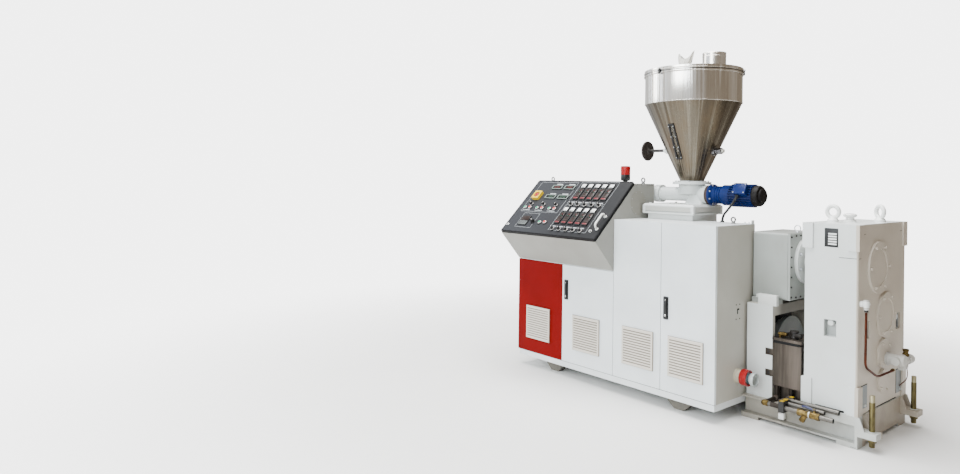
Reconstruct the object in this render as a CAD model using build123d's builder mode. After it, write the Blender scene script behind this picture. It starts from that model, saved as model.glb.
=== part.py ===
from build123d import *
import os
from math import atan2, cos, degrees, hypot, radians, sin, tan

# Conical twin-screw extruder: electric cabinets with a control desk in front, the barrel with
# its feeder and hopper behind them, and the gearboxes, motor and oil tank on a bed at the right.
# Millimetres. +X runs along the machine to the tall gearbox, -Y faces the operator, +Z is up.

os.makedirs("parts", exist_ok=True)

# General fits
seat_gap = 0.3
sheet = 2.5
folded_edge = 20.0

# Height of the screw line, on which the barrel, the gearboxes and the tall cabinet are set out
screw_height = 980.0
cabinet_over_screw = 220.0
gearbox_over_screw = 258.0

# Cabinets
red_door_width = 479.0
low_white_door_width = 484.0
tall_door_width = 391.0
cabinet_depth = 452.0
duct_depth = 51.0
duct_bottom = 450.0
duct_headroom = 171.0
low_height = 840.0
plinth_bottom = 80.0
plinth_top = 119.0
plinth_inset = 20.0
door_thickness = 20.0
door_skin = 2.0
door_seam = 3.0
handle_size = (36.0, 146.0)
handle_below_top = 112.0
handle_corner = 6.0
handle_rim = 8.0
handle_edge_gap = 22.0
handle_proud = 12.0
filter_size = 255.0
filter_bottom = 226.0
filter_proud = 10.0
filter_frame = 14.0
filter_slats = 13
filter_centres = (225.5, 234.5, 208.0, 186.0)
filter_slat_share = 0.72
filter_slot_depth = 2.0
mount_plate_gap = 25.0
mount_plate_margin = 45.0

# Feet of the cabinets
foot_top_width = 235.0
foot_bottom_width = 70.0
foot_depth = 60.0
foot_setback = 75.0
foot_end_distance = 300.0

# Control desk
desk_overhang = 205.0
desk_front_rise = 227.0
desk_slope_rise = 396.0
desk_back_setback = 213.0
lid_thickness = 20.0
lid_corner = 12.0
lid_rim = 30.0
lid_skin = 4.0
apron_fold = 24.0
side_cover_radius = 90.0
side_cover_setback = 267.0
side_cover_rise = 470.0
side_cover_proud = 2.0

# Instruments on the desk, measured along the slope from its lower edge and from the left end
controller_size = (50.0, 114.0)
controller_pitch = 67.0
controller_proud = 8.0
meter_size = 40.0
meter_gap = 9.0
upper_row_left = 511.0
upper_row_foot = 370.0
lower_row_left = 499.0
lower_row_foot = 118.0
instruments_in_row = 5
selector_radius = 13.0
selector_proud = 24.0
selector_gap = 53.0
knob_taper = 8.0
display_size = (108.0, 43.0)
display_pitch = (130.0, 106.0)
display_corner = (215.0, 368.0)
display_proud = 6.0
button_radius = 13.0
button_proud = 14.0
button_cap_share = 0.75
button_columns = (81.0, 215.0, 348.0)
button_row_height = 262.0
knob_offset = (44.0, 38.0)
red_offset = (53.0, 1.0)
lamp_places = ((352.0, 117.0), (404.0, 121.0))
speed_frame = (92.0, 98.0)
speed_corner_radius = 6.0
speed_corner = (136.0, 76.0)
speed_knob_radius = 17.0
speed_knob_place = (278.0, 118.0)
stop_place = (128.0, 391.0)
stop_guard = (74.0, 82.0)
stop_guard_proud = 25.0
stop_radius = 20.0
stop_guard_corner = 10.0
stop_rim = 6.0
grip_radius = 7.0
grip_length = 121.0
grip_rise = 38.0
grip_bend_share = 0.6
grip_place = (924.0, 98.0)

# Lifting eyes and beacon
small_eye_radius = 14.0
small_eye_wire = 4.0
eye_edge_distance = 24.0
eye_setback = 350.0
cabinet_eye_distance = 92.0
eye_shank_share = 1.6
eye_collar_share = 2.4
beacon_radius = 36.0
beacon_lens_height = 84.0
beacon_foot_height = 17.6
beacon_base_height = 44.0
beacon_foot_radius = 22.32
beacon_lens_radius = 33.12
beacon_round = 9.0
beacon_place = (127.0, 276.0)

# Power inlet on the right side of the cabinets
inlet_setback = 255.0
inlet_height = 258.0
inlet_flange = 86.0
inlet_radius = 52.0
inlet_plate = 14.0
inlet_corner = 8.0
inlet_neck_radius = 36.1
inlet_neck_length = 41.3
inlet_shroud_length = 59.0
inlet_wall = 8.0
inlet_bore_depth = 47.2
inlet_plug_gap = 18.0
inlet_plug_start = 53.1

# Feed zone over the barrel
screw_setback = 610.0
pedestal_size = (364.0, 305.0)
frame_desk_gap = 13.0
pedestal_setback = 478.0
pedestal_corner = 6.0
chute_clearance = 6.0
feeder_setback = 530.0
pedestal_height = 40.0
frame_size = (416.0, 358.0)
frame_height = 70.0
frame_bevel = 12.0
frame_recess = 8.0

# Feeder
feeder_rise = 68.0
feeder_tube_radius = 50.0
feeder_end_reach = 255.0
feeder_ring_radius = 64.0
feeder_ring_length = 53.0
feeder_hub_radius = 66.0
feeder_hub_start = 115.0
feeder_hub_length = 63.0
feeder_hub_slope = 20.0
feeder_neck_radius = 90.0
feeder_flange_radius = 132.0
feeder_flange_thickness = 18.0
feeder_neck_height = 88.0
outlet_reach = 91.0
outlet_radius = 56.0
outlet_foot = 140.0
outlet_corner = 12.0
gasket_radius = 67.0
gasket_thickness = 24.0
reducer_flange_radius = 74.0
reducer_length = 158.0
reducer_radius = 58.0
reducer_flange_thickness = 16.0
reducer_neck_start = 30.0
reducer_waist_share = 0.55
reducer_drum_share = 0.62
reducer_drum_proud = 12.0
motor_radius = 64.0
motor_fin_height = 13.0
motor_fins = 28
motor_length = 163.0
cowl_radius = 69.0
cowl_length = 55.0
terminal_size = (84.0, 72.0, 46.0)
terminal_reach = 462.0
terminal_corner = 8.0
terminal_seat = 4.0
fan_cowl_round_share = 0.2
fin_root = 2.0
fin_share = 0.07

# Cable from the feeder motor's terminal box
cable_radius = 6.5
cable_lead = 28.0
cable_low_left = 162.0
cable_low_setback = 413.0
cable_low_rise = 92.0
cable_foot_left = 215.0
cable_foot_setback = 424.0
cable_foot_rise = 40.0
cable_bend_share = 0.45

# Hopper
hopper_reach = 42.0
hopper_radius = 330.0
hopper_outlet_radius = 82.0
hopper_wall = 3.0
hopper_collar_height = 7.0
hopper_cone_height = 544.0
hopper_cylinder_height = 227.0
rim_band_height = 34.0
rim_band_proud = 6.0
lid_plate = 4.0
lid_bead = 4.0
lid_bead_inset = 14.0
lid_bead_slope = 6.0
lid_dish = 14.0
inlet_stub_radius = 78.0
inlet_stub_wall = 3.0
inlet_stub_height = 115.0
inlet_stub_offset = 166.0
bag_height = 165.0
bag_offset = 67.0
bag_foot_radii = (58.0, 44.0)
bag_waist_rise = 70.0
bag_waist_shift = -8.0
bag_waist_radii = (64.0, 30.0)
bag_tip_shift = 10.0
bag_tip_radii = (22.0, 14.0)
sight_rise = 146.0
sight_height = 253.0
sight_width = 46.0
sight_thickness = 9.0
sensor_rise = 207.0
sensor_radius = 17.0
sensor_length = 74.0
plunger_rise = 221.0
plunger_boss_radius = 20.0
plunger_boss_length = 42.0
plunger_rod_radius = 8.0
plunger_disc_radius = 64.0
plunger_disc_thickness = 14.0
plunger_reach = 391.0

# Barrel and its cover
barrel_rear_radius = 96.0
barrel_front_radius = 78.0
barrel_left_end = 1900.0
barrel_flange_radius = 98.0
barrel_flange_thickness = 45.0
die_bolt_circle = 150.0
die_bolt_radius = 8.5
die_bolts = 8
die_bore_radius = 45.0
cover_half_width = 104.0
cover_under_screw = 118.0
cover_over_screw = 128.0
cover_left = 1770.0
cover_vents = 24
vent_size = (12.0, 90.0)
vent_pitch = 34.0
cover_saddles = (1600.0, 200.0)
cover_saddle = 12.0
saddle_over_screw = 80.0

# Column under the barrel's front
column_left = 1810.0
column_size = (90.0, 120.0)
column_corner = 14.0
column_wall = 8.0
column_ledge = 10.0
cradle_under_screw = 46.8
column_plate = 150.0
column_base = 16.0
column_under_screw = 200.0
column_cradle = 40.0

# Distribution gearbox and the portal that carries it
box_left = 14.0
box_right = 250.0
box_half_width = 195.0
box_under_screw = 238.0
box_over_screw = 175.0
box_corner = 14.0
end_plate = 16.0
ring_radius = 143.0
ring_thickness = 22.0
coupling_radius = 92.0
coupling_neck_radius = 55.2
coupling_neck_length = 20.0
coupling_hub_radius = 64.4
coupling_hub_length = 12.0
box_foot_height = 32.0
box_foot_right = 180.0
box_foot_ledge = 16.0
box_foot_width = 70.0
end_plate_inset = 2.0
portal_right = 180.0
portal_front = 345.0
portal_back = 880.0
portal_plate = 30.0
portal_beam = 63.0

# Tall reduction gearbox
tall_box_left = 386.0
tall_box_right = 683.0
tall_box_front = 311.0
tall_box_back = 995.0
case_corner = 10.0
pad_proud = 9.0
pad_width = 60.0
top_pad_height = 148.0
bottom_pad_height = 159.0
pocket_size = (68.0, 97.0)
pocket_depth = 40.0
pocket_bottom = 593.0
cover_thickness = 14.0
cover_setbacks = (580.0, 690.0, 660.0, 655.0)
cover_height_shares = (0.762, 0.493, 0.284, 0.133)
cover_radius_shares = (0.141, 0.125, 0.082, 0.064)
cover_rim_share = 0.72
side_pockets = ((437.0, 640.0), (890.0, 640.0))
large_eye_radius = 30.0
large_eye_wire = 11.0
large_eye_places = ((467.0, 494.0), (620.0, 775.0))
breather_place = (520.0, 600.0)
breather_stem_radius = 14.0
breather_stem_height = 30.0
breather_cap_radius = 34.0
breather_cap_height = 18.0
breather_taper = 20.0

# Oil pump and its pipe
pump_setback = 688.0
pump_height = 446.0
pump_flange_radius = 40.0
pump_flange_thickness = 8.0
pump_radius = 32.0
pump_length = 98.0
pump_round = 6.4
pump_side_start = 58.8
pump_side_radius = 24.0
pump_side_reach = 104.0
elbow_size = 48.0
pipe_arc = 26.0
pipe_radius = 6.0
pipe_setback = 345.0
pipe_stand_off = 30.0
pipe_top = 800.0
pipe_bend = 490.0
pipe_low = (515.0, 379.0)

# Main motor
main_motor_setback = 655.0
motor_headroom = 41.0
main_motor_share = 0.7
main_motor_fin = 12.0
main_motor_fins = 32
main_motor_left = 560.0
main_motor_right = 100.0
main_flange_thickness = 40.0
main_foot_places = (440.0, 120.0)
main_foot_width = 80.0
main_foot_share = 0.8
drive_coupling_radius = 62.0

# Oil tank
tank_left = 186.0
tank_right = 360.0
tank_front = 340.0
tank_back = 560.0
tank_bottom = 232.0
tank_top = 523.0
tank_lid = 16.0
tank_slot = 14.0
tank_slot_depth = 8.0
tank_lid_overhang = 3.0
tank_leg_inset = 60.0
tank_leg_margin = 20.0
tank_leg = 20.0

# Water pipes along the bed
water_pipe_radius = 14.0
water_pipe_wall = 3.0
water_pipe_setbacks = (212.0, 250.0, 284.0)
water_pipe_rises = (15.0, 32.0, 44.0)
water_pipe_left = (202.0, 290.0, 300.0)
water_pipe_right = (601.0, 536.0, 601.0)
riser_setback = 365.0
clamp_left = 298.0
clamp_width = 32.0
clamp_lip = 8.0
clamp_under = 12.0
clamp_back = 348.0
valve_left_end = 405.0
valve_length = 122.0
valve_radius = 20.0
valve_neck_radius = 17.0
valve_neck_shares = (0.42, 0.5)
valve_ball_share = 0.58
valve_stem_share = 0.76
strainer_start = 44.0
strainer_radius = 15.0
strainer_length = 50.0
valve_fit = 0.05

# Bed
bed_front = 300.0
bed_back = 1000.0
bed_right = 690.0
bed_left_end = 1895.0
bed_narrow_front = 515.0
bed_narrow_back = 790.0
narrow_rail = 40.0
bed_end_plate = 14.0
bed_bottom = 20.0
bed_top = 177.0
bed_flange = 60.0
bed_under_box = 8.0
bed_web = 10.0
deck_top = 137.0
deck_plate = 10.0
pad_size = 110.0
gusset = 10.0
gusset_foot = 36.0
lug_reach = 96.0
lug_width = 84.0
lug_bottom = 73.0
lug_top = 107.0
screw_radius = 15.0
screw_reach = 60.0
screw_places = (342.0, 958.0)
screw_top = 307.0
screw_bottom = 24.0
nut_radius = 24.0
nut_height = 22.0
nut_sides = 6

# The cabinets' right front corner is the datum of all the sizes above, and the origin is the
# middle of the footprint, so the datum stands off the origin by these two lengths.
reach_right = bed_right + lug_reach
datum_x = (barrel_left_end - reach_right) / 2
datum_y = (desk_overhang - tall_box_back - pad_proud) / 2

# Stations worked out from the sizes
tall_height = screw_height + cabinet_over_screw
duct_top = tall_height - duct_headroom
cover_bottom = screw_height - cover_under_screw
cover_top = screw_height + cover_over_screw
saddle_top = screw_height + saddle_over_screw
column_top = screw_height - column_under_screw
box_bottom = screw_height - box_under_screw
box_top = screw_height + box_over_screw
portal_top = box_bottom - box_foot_height
tall_box_top = screw_height + gearbox_over_screw
pedestal_top = tall_height + pedestal_height
frame_top = pedestal_top + frame_height
feeder_height = frame_top + feeder_rise
feeder_flange_top = feeder_height + feeder_neck_height
hopper_foot = feeder_flange_top + hopper_collar_height
hopper_shoulder = hopper_foot + hopper_cone_height
hopper_rim = hopper_shoulder + hopper_cylinder_height
sight_low = hopper_foot + sight_rise
sight_high = sight_low + sight_height
sensor_height = hopper_foot + sensor_rise
plunger_height = hopper_foot + plunger_rise
handle_bottom = low_height - handle_below_top - handle_size[1]
desk_front_height = low_height + desk_front_rise
desk_back_height = desk_front_height + desk_slope_rise
side_cover_height = low_height + side_cover_rise
low_width = red_door_width + low_white_door_width
tall_width = 2 * tall_door_width
pedestal_centre_left = tall_width - frame_desk_gap - frame_size[0] / 2
hopper_left = pedestal_centre_left - hopper_reach
outlet_left = pedestal_centre_left - outlet_reach
feeder_left_end = pedestal_centre_left + feeder_end_reach
feeder_hub_left = pedestal_centre_left - feeder_hub_start
feeder_hub_right = feeder_hub_left - feeder_hub_length
terminal_left = pedestal_centre_left - terminal_reach
cabinet_width = low_width + tall_width
left_x = datum_x - cabinet_width
joint_x = datum_x - tall_width
front_y = datum_y
frame_front_y = front_y + door_thickness + seat_gap
back_y = front_y + cabinet_depth
screw_y = front_y + screw_setback
feeder_y = front_y + feeder_setback
pedestal_y = front_y + pedestal_setback
slope_angle = degrees(atan2(desk_back_height - desk_front_height, desk_overhang + desk_back_setback))
slope_length = hypot(desk_back_height - desk_front_height, desk_overhang + desk_back_setback)
lid_drop = lid_thickness + seat_gap
rim_shift = (lid_drop * sin(radians(slope_angle)), -lid_drop * cos(radians(slope_angle)))
desk_low_edge = (front_y - desk_overhang + rim_shift[0], desk_front_height + rim_shift[1])
desk_high_edge = (front_y + desk_back_setback + rim_shift[0], desk_back_height + rim_shift[1])
desk_top = desk_high_edge[1]
shelf_top = low_height + sheet
hopper_x = datum_x - hopper_left
barrel_run = barrel_left_end + box_left - 2 * barrel_flange_thickness
barrel_slope = (barrel_rear_radius - barrel_front_radius) / barrel_run
cradle_station = barrel_left_end - barrel_flange_thickness - column_left + column_cradle / 2
cradle_radius = barrel_front_radius + barrel_slope * cradle_station


def save(piece, name):
    """Label a finished piece and write it to its own file."""
    piece.label = name
    export_step(piece, f"parts/{name}.step")


def slab(x_span, y_span, z_span, mode=Mode.ADD):
    """Add a slab between two corners to the part that is being built."""
    spans = (x_span, y_span, z_span)
    with Locations(tuple((low + high) / 2 for low, high in spans)):
        return Box(*(high - low for low, high in spans), mode=mode)


# Plinth and feet of the cabinets, with a cross bar over each pair of feet
foot_centres_x = (left_x + foot_end_distance + foot_bottom_width / 2, datum_x - foot_end_distance)
foot_centres_y = (front_y + foot_setback + foot_depth / 2, back_y - foot_setback - foot_depth / 2)
with BuildPart() as cabinet_plinth:
    slab((left_x + plinth_inset, datum_x), (front_y, back_y), (plinth_bottom, plinth_top))
    fillet(cabinet_plinth.edges().filter_by(Axis.Z), sheet)
    plinth_hollow = (plinth_top - plinth_bottom) - 2 * sheet
    with BuildSketch(Plane.XY.offset(plinth_bottom)):
        with Locations(((left_x + plinth_inset + datum_x) / 2, (front_y + back_y) / 2)):
            Rectangle(cabinet_width - plinth_inset - 2 * folded_edge, cabinet_depth - 2 * folded_edge)
    extrude(amount=plinth_hollow, mode=Mode.SUBTRACT)
    for foot_x in foot_centres_x:
        bar_x = (foot_x - foot_bottom_width / 2, foot_x + foot_bottom_width / 2)
        slab(bar_x, (front_y + folded_edge, back_y - folded_edge), (plinth_bottom, plinth_top))
save(cabinet_plinth.part, "cabinet_plinth")

with BuildPart() as cabinet_feet:
    for foot_y in foot_centres_y:
        for foot_x in foot_centres_x:
            with BuildSketch(Plane.XZ.offset(-foot_y - foot_depth / 2)):
                with BuildLine():
                    Polyline(
                        (foot_x - foot_bottom_width / 2, 0),
                        (foot_x + foot_bottom_width / 2, 0),
                        (foot_x + foot_top_width / 2, plinth_bottom),
                        (foot_x - foot_top_width / 2, plinth_bottom),
                        close=True,
                    )
                make_face()
            extrude(amount=foot_depth)
save(cabinet_feet.part, "cabinet_feet")


# Side sheets, each with its front edge folded in behind the doors
def side_sheet(x_outer, inward, outline):
    """Add a side sheet that follows an outline in Y and Z, with a folded front edge."""
    with BuildSketch(Plane.YZ.offset(x_outer)) as side:
        with BuildLine():
            Polyline(*outline, close=True)
        make_face()
    extrude(side.sketch, amount=sheet * inward)
    edge_z = (outline[0][1], outline[-1][1])
    x_span = sorted((x_outer, x_outer + inward * folded_edge))
    slab(x_span, (frame_front_y, frame_front_y + sheet), edge_z)


inner_back_y = back_y - sheet
duct_back_y = back_y + duct_depth - sheet
plain_side = (
    (frame_front_y, plinth_top),
    (inner_back_y, plinth_top),
    (inner_back_y, low_height),
    (frame_front_y, low_height),
)
tall_top_z = tall_height - sheet
notched_side = (
    (frame_front_y, plinth_top),
    (inner_back_y, plinth_top),
    (inner_back_y, duct_bottom),
    (duct_back_y, duct_bottom),
    (duct_back_y, duct_top),
    (inner_back_y, duct_top),
    (inner_back_y, tall_top_z),
    (frame_front_y, tall_top_z),
)
with BuildPart() as cabinet_sides:
    side_sheet(left_x, 1, plain_side)
    side_sheet(joint_x, 1, notched_side)
    low_fold_y = (frame_front_y, frame_front_y + sheet)
    slab((joint_x - folded_edge, joint_x), low_fold_y, (plinth_top, low_height))
    side_sheet(datum_x, -1, notched_side)
save(cabinet_sides.part, "cabinet_sides")

# Rear sheets: a flat one for the low cabinet, a hat-shaped one for the tall cabinet, one for the desk
with BuildPart() as rear_panels:
    slab((left_x, joint_x), (inner_back_y, back_y), (plinth_top, low_height))
    with BuildSketch(Plane.YZ.offset(joint_x)) as hat:
        with BuildLine():
            Polyline(
                (inner_back_y, plinth_top),
                (back_y, plinth_top),
                (back_y, duct_bottom - sheet),
                (back_y + duct_depth, duct_bottom - sheet),
                (back_y + duct_depth, duct_top + sheet),
                (back_y, duct_top + sheet),
                (back_y, tall_top_z),
                (inner_back_y, tall_top_z),
                (inner_back_y, duct_top),
                (duct_back_y, duct_top),
                (duct_back_y, duct_bottom),
                (inner_back_y, duct_bottom),
                close=True,
            )
        make_face()
    extrude(hat.sketch, amount=tall_width)
    slab((left_x, joint_x - seat_gap), (inner_back_y, back_y), (shelf_top, desk_top - sheet))
save(rear_panels.part, "rear_panels")

# Level sheets: the tall cabinet's top, the shelf between low cabinet and desk, and the desk's top
with BuildPart() as cabinet_tops:
    slab((joint_x, datum_x), (frame_front_y, back_y), (tall_top_z, tall_height))
    slab((left_x, joint_x - seat_gap), (front_y, back_y), (low_height, shelf_top))
    slab((left_x, joint_x - seat_gap), (desk_high_edge[0], back_y), (desk_top - sheet, desk_top))
save(cabinet_tops.part, "cabinet_tops")

# Mounting plates that stand inside the cabinets, in front of the rear sheets
with BuildPart() as mounting_plates:
    plate_y = (inner_back_y - mount_plate_gap - sheet, inner_back_y - mount_plate_gap)
    for x_span, top in (((left_x, joint_x), low_height), ((joint_x, datum_x), tall_top_z)):
        plate_x = (x_span[0] + mount_plate_margin, x_span[1] - mount_plate_margin)
        slab(plate_x, plate_y, (plinth_top, top - mount_plate_margin))
save(mounting_plates.part, "mounting_plates")

# Desk: two cheeks, the slanted apron under the lid
desk_outline = (
    (front_y, shelf_top),
    desk_low_edge,
    desk_high_edge,
    (inner_back_y, desk_top - sheet),
    (inner_back_y, shelf_top),
)
with BuildPart() as desk_cheeks:
    for cheek_x, inward in ((left_x, 1), (joint_x - seat_gap, -1)):
        with BuildSketch(Plane.YZ.offset(cheek_x)) as cheek:
            with BuildLine():
                Polyline(
                    desk_outline[0],
                    desk_outline[1],
                    (desk_high_edge[0], desk_top - sheet),
                    desk_outline[3],
                    desk_outline[4],
                    close=True,
                )
            make_face()
        extrude(cheek.sketch, amount=sheet * inward)
    cover_place = Plane.YZ.offset(joint_x - seat_gap - sheet)
    with BuildSketch(cover_place) as cover:
        with Locations((front_y + side_cover_setback, side_cover_height)):
            Circle(side_cover_radius)
    extrude(cover.sketch, amount=-side_cover_proud)
save(desk_cheeks.part, "desk_cheeks")

apron_angle = atan2(desk_low_edge[1] - shelf_top, front_y - desk_low_edge[0])
slope_turn = radians(slope_angle)
fold_y = desk_low_edge[0] + apron_fold * cos(slope_turn)
fold_z = desk_low_edge[1] + apron_fold * sin(slope_turn)
with BuildPart() as desk_apron:
    with BuildSketch(Plane.YZ.offset(left_x + sheet)) as apron:
        with BuildLine():
            Polyline(
                (front_y, shelf_top),
                desk_low_edge,
                (fold_y, fold_z),
                (fold_y + sheet * sin(slope_turn), fold_z - sheet * cos(slope_turn)),
                (desk_low_edge[0] + 2 * sheet, desk_low_edge[1]),
                (front_y + sheet / sin(apron_angle), shelf_top),
                close=True,
            )
        make_face()
    extrude(apron.sketch, amount=low_width - 2 * sheet - seat_gap)
save(desk_apron.part, "desk_apron")


# Doors: folded trays hung at their outer edges
def door_tray(x_from, x_to, z_from, z_to):
    """Return a door with its skin in front and its edges folded back."""
    with BuildPart() as door:
        slab((x_from, x_to), (front_y, front_y + door_thickness), (z_from, z_to))
        back_face = door.faces().sort_by(Axis.Y)[-1]
        offset(amount=-door_skin, openings=back_face)
    return door.part


def fan_filter(x_centre):
    """Return a filter grille: a frame round a stack of sloping slats."""
    z_centre = filter_bottom + filter_size / 2
    opening = filter_size - 2 * filter_frame
    pitch = opening / filter_slats
    with BuildPart() as grille:
        slab(
            (x_centre - filter_size / 2, x_centre + filter_size / 2),
            (front_y - filter_proud, front_y),
            (z_centre - filter_size / 2, z_centre + filter_size / 2),
        )
        chamfer(grille.faces().sort_by(Axis.Y)[0].edges(), filter_proud / 3)
        for number in range(filter_slats):
            slot_foot = z_centre - opening / 2 + number * pitch
            with BuildSketch(Plane.YZ.offset(x_centre - opening / 2)) as slot:
                with BuildLine():
                    Polyline(
                        (front_y - filter_proud, slot_foot),
                        (front_y - filter_proud, slot_foot + filter_slat_share * pitch),
                        (front_y - filter_slot_depth, slot_foot + pitch - 1),
                        close=True,
                    )
                make_face()
            extrude(slot.sketch, amount=opening, mode=Mode.SUBTRACT)
    return grille.part


def swing_handle(x_left):
    """Return a flush swing handle: a long tray with a raised lever."""
    with BuildPart() as handle:
        centre = (x_left + handle_size[0] / 2, handle_bottom + handle_size[1] / 2)
        with BuildSketch(Plane.XZ.offset(-front_y)) as tray:
            with Locations(centre):
                RectangleRounded(*handle_size, handle_corner)
        extrude(tray.sketch, amount=handle_proud / 2)
        with BuildSketch(Plane.XZ.offset(-front_y + handle_proud / 2)) as lever:
            with Locations(centre):
                SlotOverall(handle_size[1] - 2 * handle_rim, handle_size[0] - 2 * handle_rim, rotation=90)
        extrude(lever.sketch, amount=handle_proud / 2)
    return handle.part


half_seam = door_seam / 2
door_bottom = plinth_top + door_seam
door_edges = (
    (left_x, left_x + red_door_width - half_seam),
    (left_x + red_door_width + half_seam, joint_x - half_seam),
    (joint_x + half_seam, joint_x + tall_door_width - half_seam),
    (joint_x + tall_door_width + half_seam, datum_x),
)
door_tops = (low_height - door_seam, low_height - door_seam, tall_height, tall_height)
door_names = ("red_door", "low_white_door", "tall_left_door", "tall_right_door")
filter_names = ("red_door_filter", "low_white_door_filter", "tall_left_door_filter", "tall_right_door_filter")
for number in range(4):
    edges = door_edges[number]
    save(door_tray(*edges, door_bottom, door_tops[number]), door_names[number])
    save(fan_filter(edges[0] + filter_centres[number]), filter_names[number])
save(swing_handle(door_edges[1][0] + handle_edge_gap), "low_door_handle")
save(swing_handle(door_edges[3][0] + handle_edge_gap), "tall_door_handle")

# Lid of the desk, hinged along its upper edge; everything on it is set out on the slope
lid_plane = Plane(
    origin=(left_x, front_y - desk_overhang, desk_front_height),
    x_dir=(1, 0, 0),
    z_dir=(0, -sin(slope_turn), cos(slope_turn)),
)


def on_lid(height=0.0):
    """Return the plane of the lid's face, raised by a height."""
    return lid_plane.offset(height)


with BuildPart() as desk_lid:
    with BuildSketch(on_lid(-lid_thickness)):
        with Locations((low_width / 2, slope_length / 2)):
            Rectangle(low_width, slope_length)
    extrude(amount=lid_thickness)
    fillet(desk_lid.edges().filter_by(Axis((0, 0, 0), lid_plane.z_dir)), lid_corner)
    lid_hollow = lid_thickness - lid_skin
    with BuildSketch(on_lid(-lid_thickness)):
        with Locations((low_width / 2, slope_length / 2)):
            Rectangle(low_width - 2 * lid_rim, slope_length - 2 * lid_rim)
    extrude(amount=lid_hollow, mode=Mode.SUBTRACT)
save(desk_lid.part, "desk_lid")

instrument_rows = ((upper_row_left, upper_row_foot), (lower_row_left, lower_row_foot))
with BuildPart() as temperature_controllers:
    for row_left, row_foot in instrument_rows:
        for number in range(instruments_in_row):
            centre_x = row_left + number * controller_pitch + controller_size[0] / 2
            with BuildSketch(on_lid()) as bezel:
                with Locations((centre_x, row_foot + controller_size[1] / 2)):
                    RectangleRounded(*controller_size, 3)
                with Locations((centre_x, row_foot + controller_size[1] + meter_gap + meter_size / 2)):
                    RectangleRounded(meter_size, meter_size, 2)
            extrude(bezel.sketch, amount=controller_proud)
save(temperature_controllers.part, "temperature_controllers")

with BuildPart() as panel_displays:
    for column in range(2):
        for row in range(2):
            with BuildSketch(on_lid()) as display:
                corner_x = display_corner[0] + column * display_pitch[0]
                corner_z = display_corner[1] + row * display_pitch[1]
                with Locations((corner_x + display_size[0] / 2, corner_z + display_size[1] / 2)):
                    RectangleRounded(*display_size, 4)
            extrude(display.sketch, amount=display_proud)
save(panel_displays.part, "panel_displays")

with BuildPart() as panel_buttons:
    for row_left, row_foot in instrument_rows:
        for number in range(instruments_in_row):
            centre_x = row_left + number * controller_pitch + controller_size[0] / 2
            with BuildSketch(on_lid()) as base:
                with Locations((centre_x, row_foot - selector_gap)):
                    Circle(selector_radius)
            extrude(base.sketch, amount=selector_proud, taper=knob_taper)
    button_spots = list(lamp_places)
    for column in button_columns:
        button_spots.append((column, button_row_height))
        button_spots.append((column + red_offset[0], button_row_height + red_offset[1]))
        button_spots.append((column + knob_offset[0], button_row_height + knob_offset[1]))
    for spot in button_spots:
        with BuildSketch(on_lid()) as collar:
            with Locations(spot):
                Circle(button_radius)
        extrude(collar.sketch, amount=button_proud / 2)
        with BuildSketch(on_lid(button_proud / 2)) as cap:
            with Locations(spot):
                Circle(button_radius * button_cap_share)
        extrude(cap.sketch, amount=button_proud / 2)
save(panel_buttons.part, "panel_buttons")

with BuildPart() as speed_controller:
    with BuildSketch(on_lid()) as speed_base:
        with Locations((speed_corner[0] + speed_frame[0] / 2, speed_corner[1] + speed_frame[1] / 2)):
            RectangleRounded(*speed_frame, speed_corner_radius)
    extrude(speed_base.sketch, amount=display_proud)
    with BuildSketch(on_lid()) as speed_knob:
        with Locations(speed_knob_place):
            Circle(speed_knob_radius)
    extrude(speed_knob.sketch, amount=selector_proud, taper=knob_taper)
save(speed_controller.part, "speed_controller")

with BuildPart() as emergency_stop:
    with BuildSketch(on_lid()) as guard:
        with Locations(stop_place):
            RectangleRounded(*stop_guard, stop_guard_corner)
            Circle(stop_radius + stop_rim, mode=Mode.SUBTRACT)
    extrude(guard.sketch, amount=stop_guard_proud)
    with BuildSketch(on_lid()) as stem:
        with Locations(stop_place):
            Circle(stop_radius + stop_rim)
    extrude(stem.sketch, amount=stop_guard_proud / 4)
    with BuildSketch(on_lid(stop_guard_proud / 4)) as head:
        with Locations(stop_place):
            Circle(stop_radius)
    extrude(head.sketch, amount=stop_guard_proud / 2)
save(emergency_stop.part, "emergency_stop")

with BuildPart() as lid_handle:
    grip_foot = on_lid().from_local_coords((grip_place[0], grip_place[1], 0))
    grip_top = on_lid().from_local_coords((grip_place[0], grip_place[1] + grip_length, 0))
    rise = lid_plane.z_dir * grip_rise
    grip_bend = grip_rise * grip_bend_share
    with BuildLine() as grip_line:
        FilletPolyline(grip_foot, grip_foot + rise, grip_top + rise, grip_top, radius=grip_bend)
    with BuildSketch(Plane(origin=grip_foot, z_dir=lid_plane.z_dir)):
        Circle(grip_radius)
    sweep()
save(lid_handle.part, "lid_handle")


# Lifting eyes: a shank with a ring
def eye_bolt(place, ring, wire):
    """Add a lifting eye that stands on a place."""
    rise = ring + 2 * wire
    with BuildSketch(Plane.XZ.offset(-place[1])) as eye:
        with Locations((place[0], place[2] + rise)):
            Circle(ring + wire)
            Circle(ring - wire, mode=Mode.SUBTRACT)
    extrude(eye.sketch, amount=wire, both=True)
    with BuildSketch(Plane.XY.offset(place[2])) as collar:
        with Locations((place[0], place[1])):
            Circle(eye_collar_share * wire)
    extrude(collar.sketch, amount=eye_shank_share * wire)


with BuildPart() as lifting_eyes:
    for eye_x in (left_x + eye_edge_distance, joint_x - eye_edge_distance):
        eye_bolt((eye_x, front_y + eye_setback, desk_top), small_eye_radius, small_eye_wire)
    cabinet_eye_place = (datum_x - cabinet_eye_distance, front_y + eye_setback, tall_height)
    eye_bolt(cabinet_eye_place, small_eye_radius, small_eye_wire)
save(lifting_eyes.part, "lifting_eyes")

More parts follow.
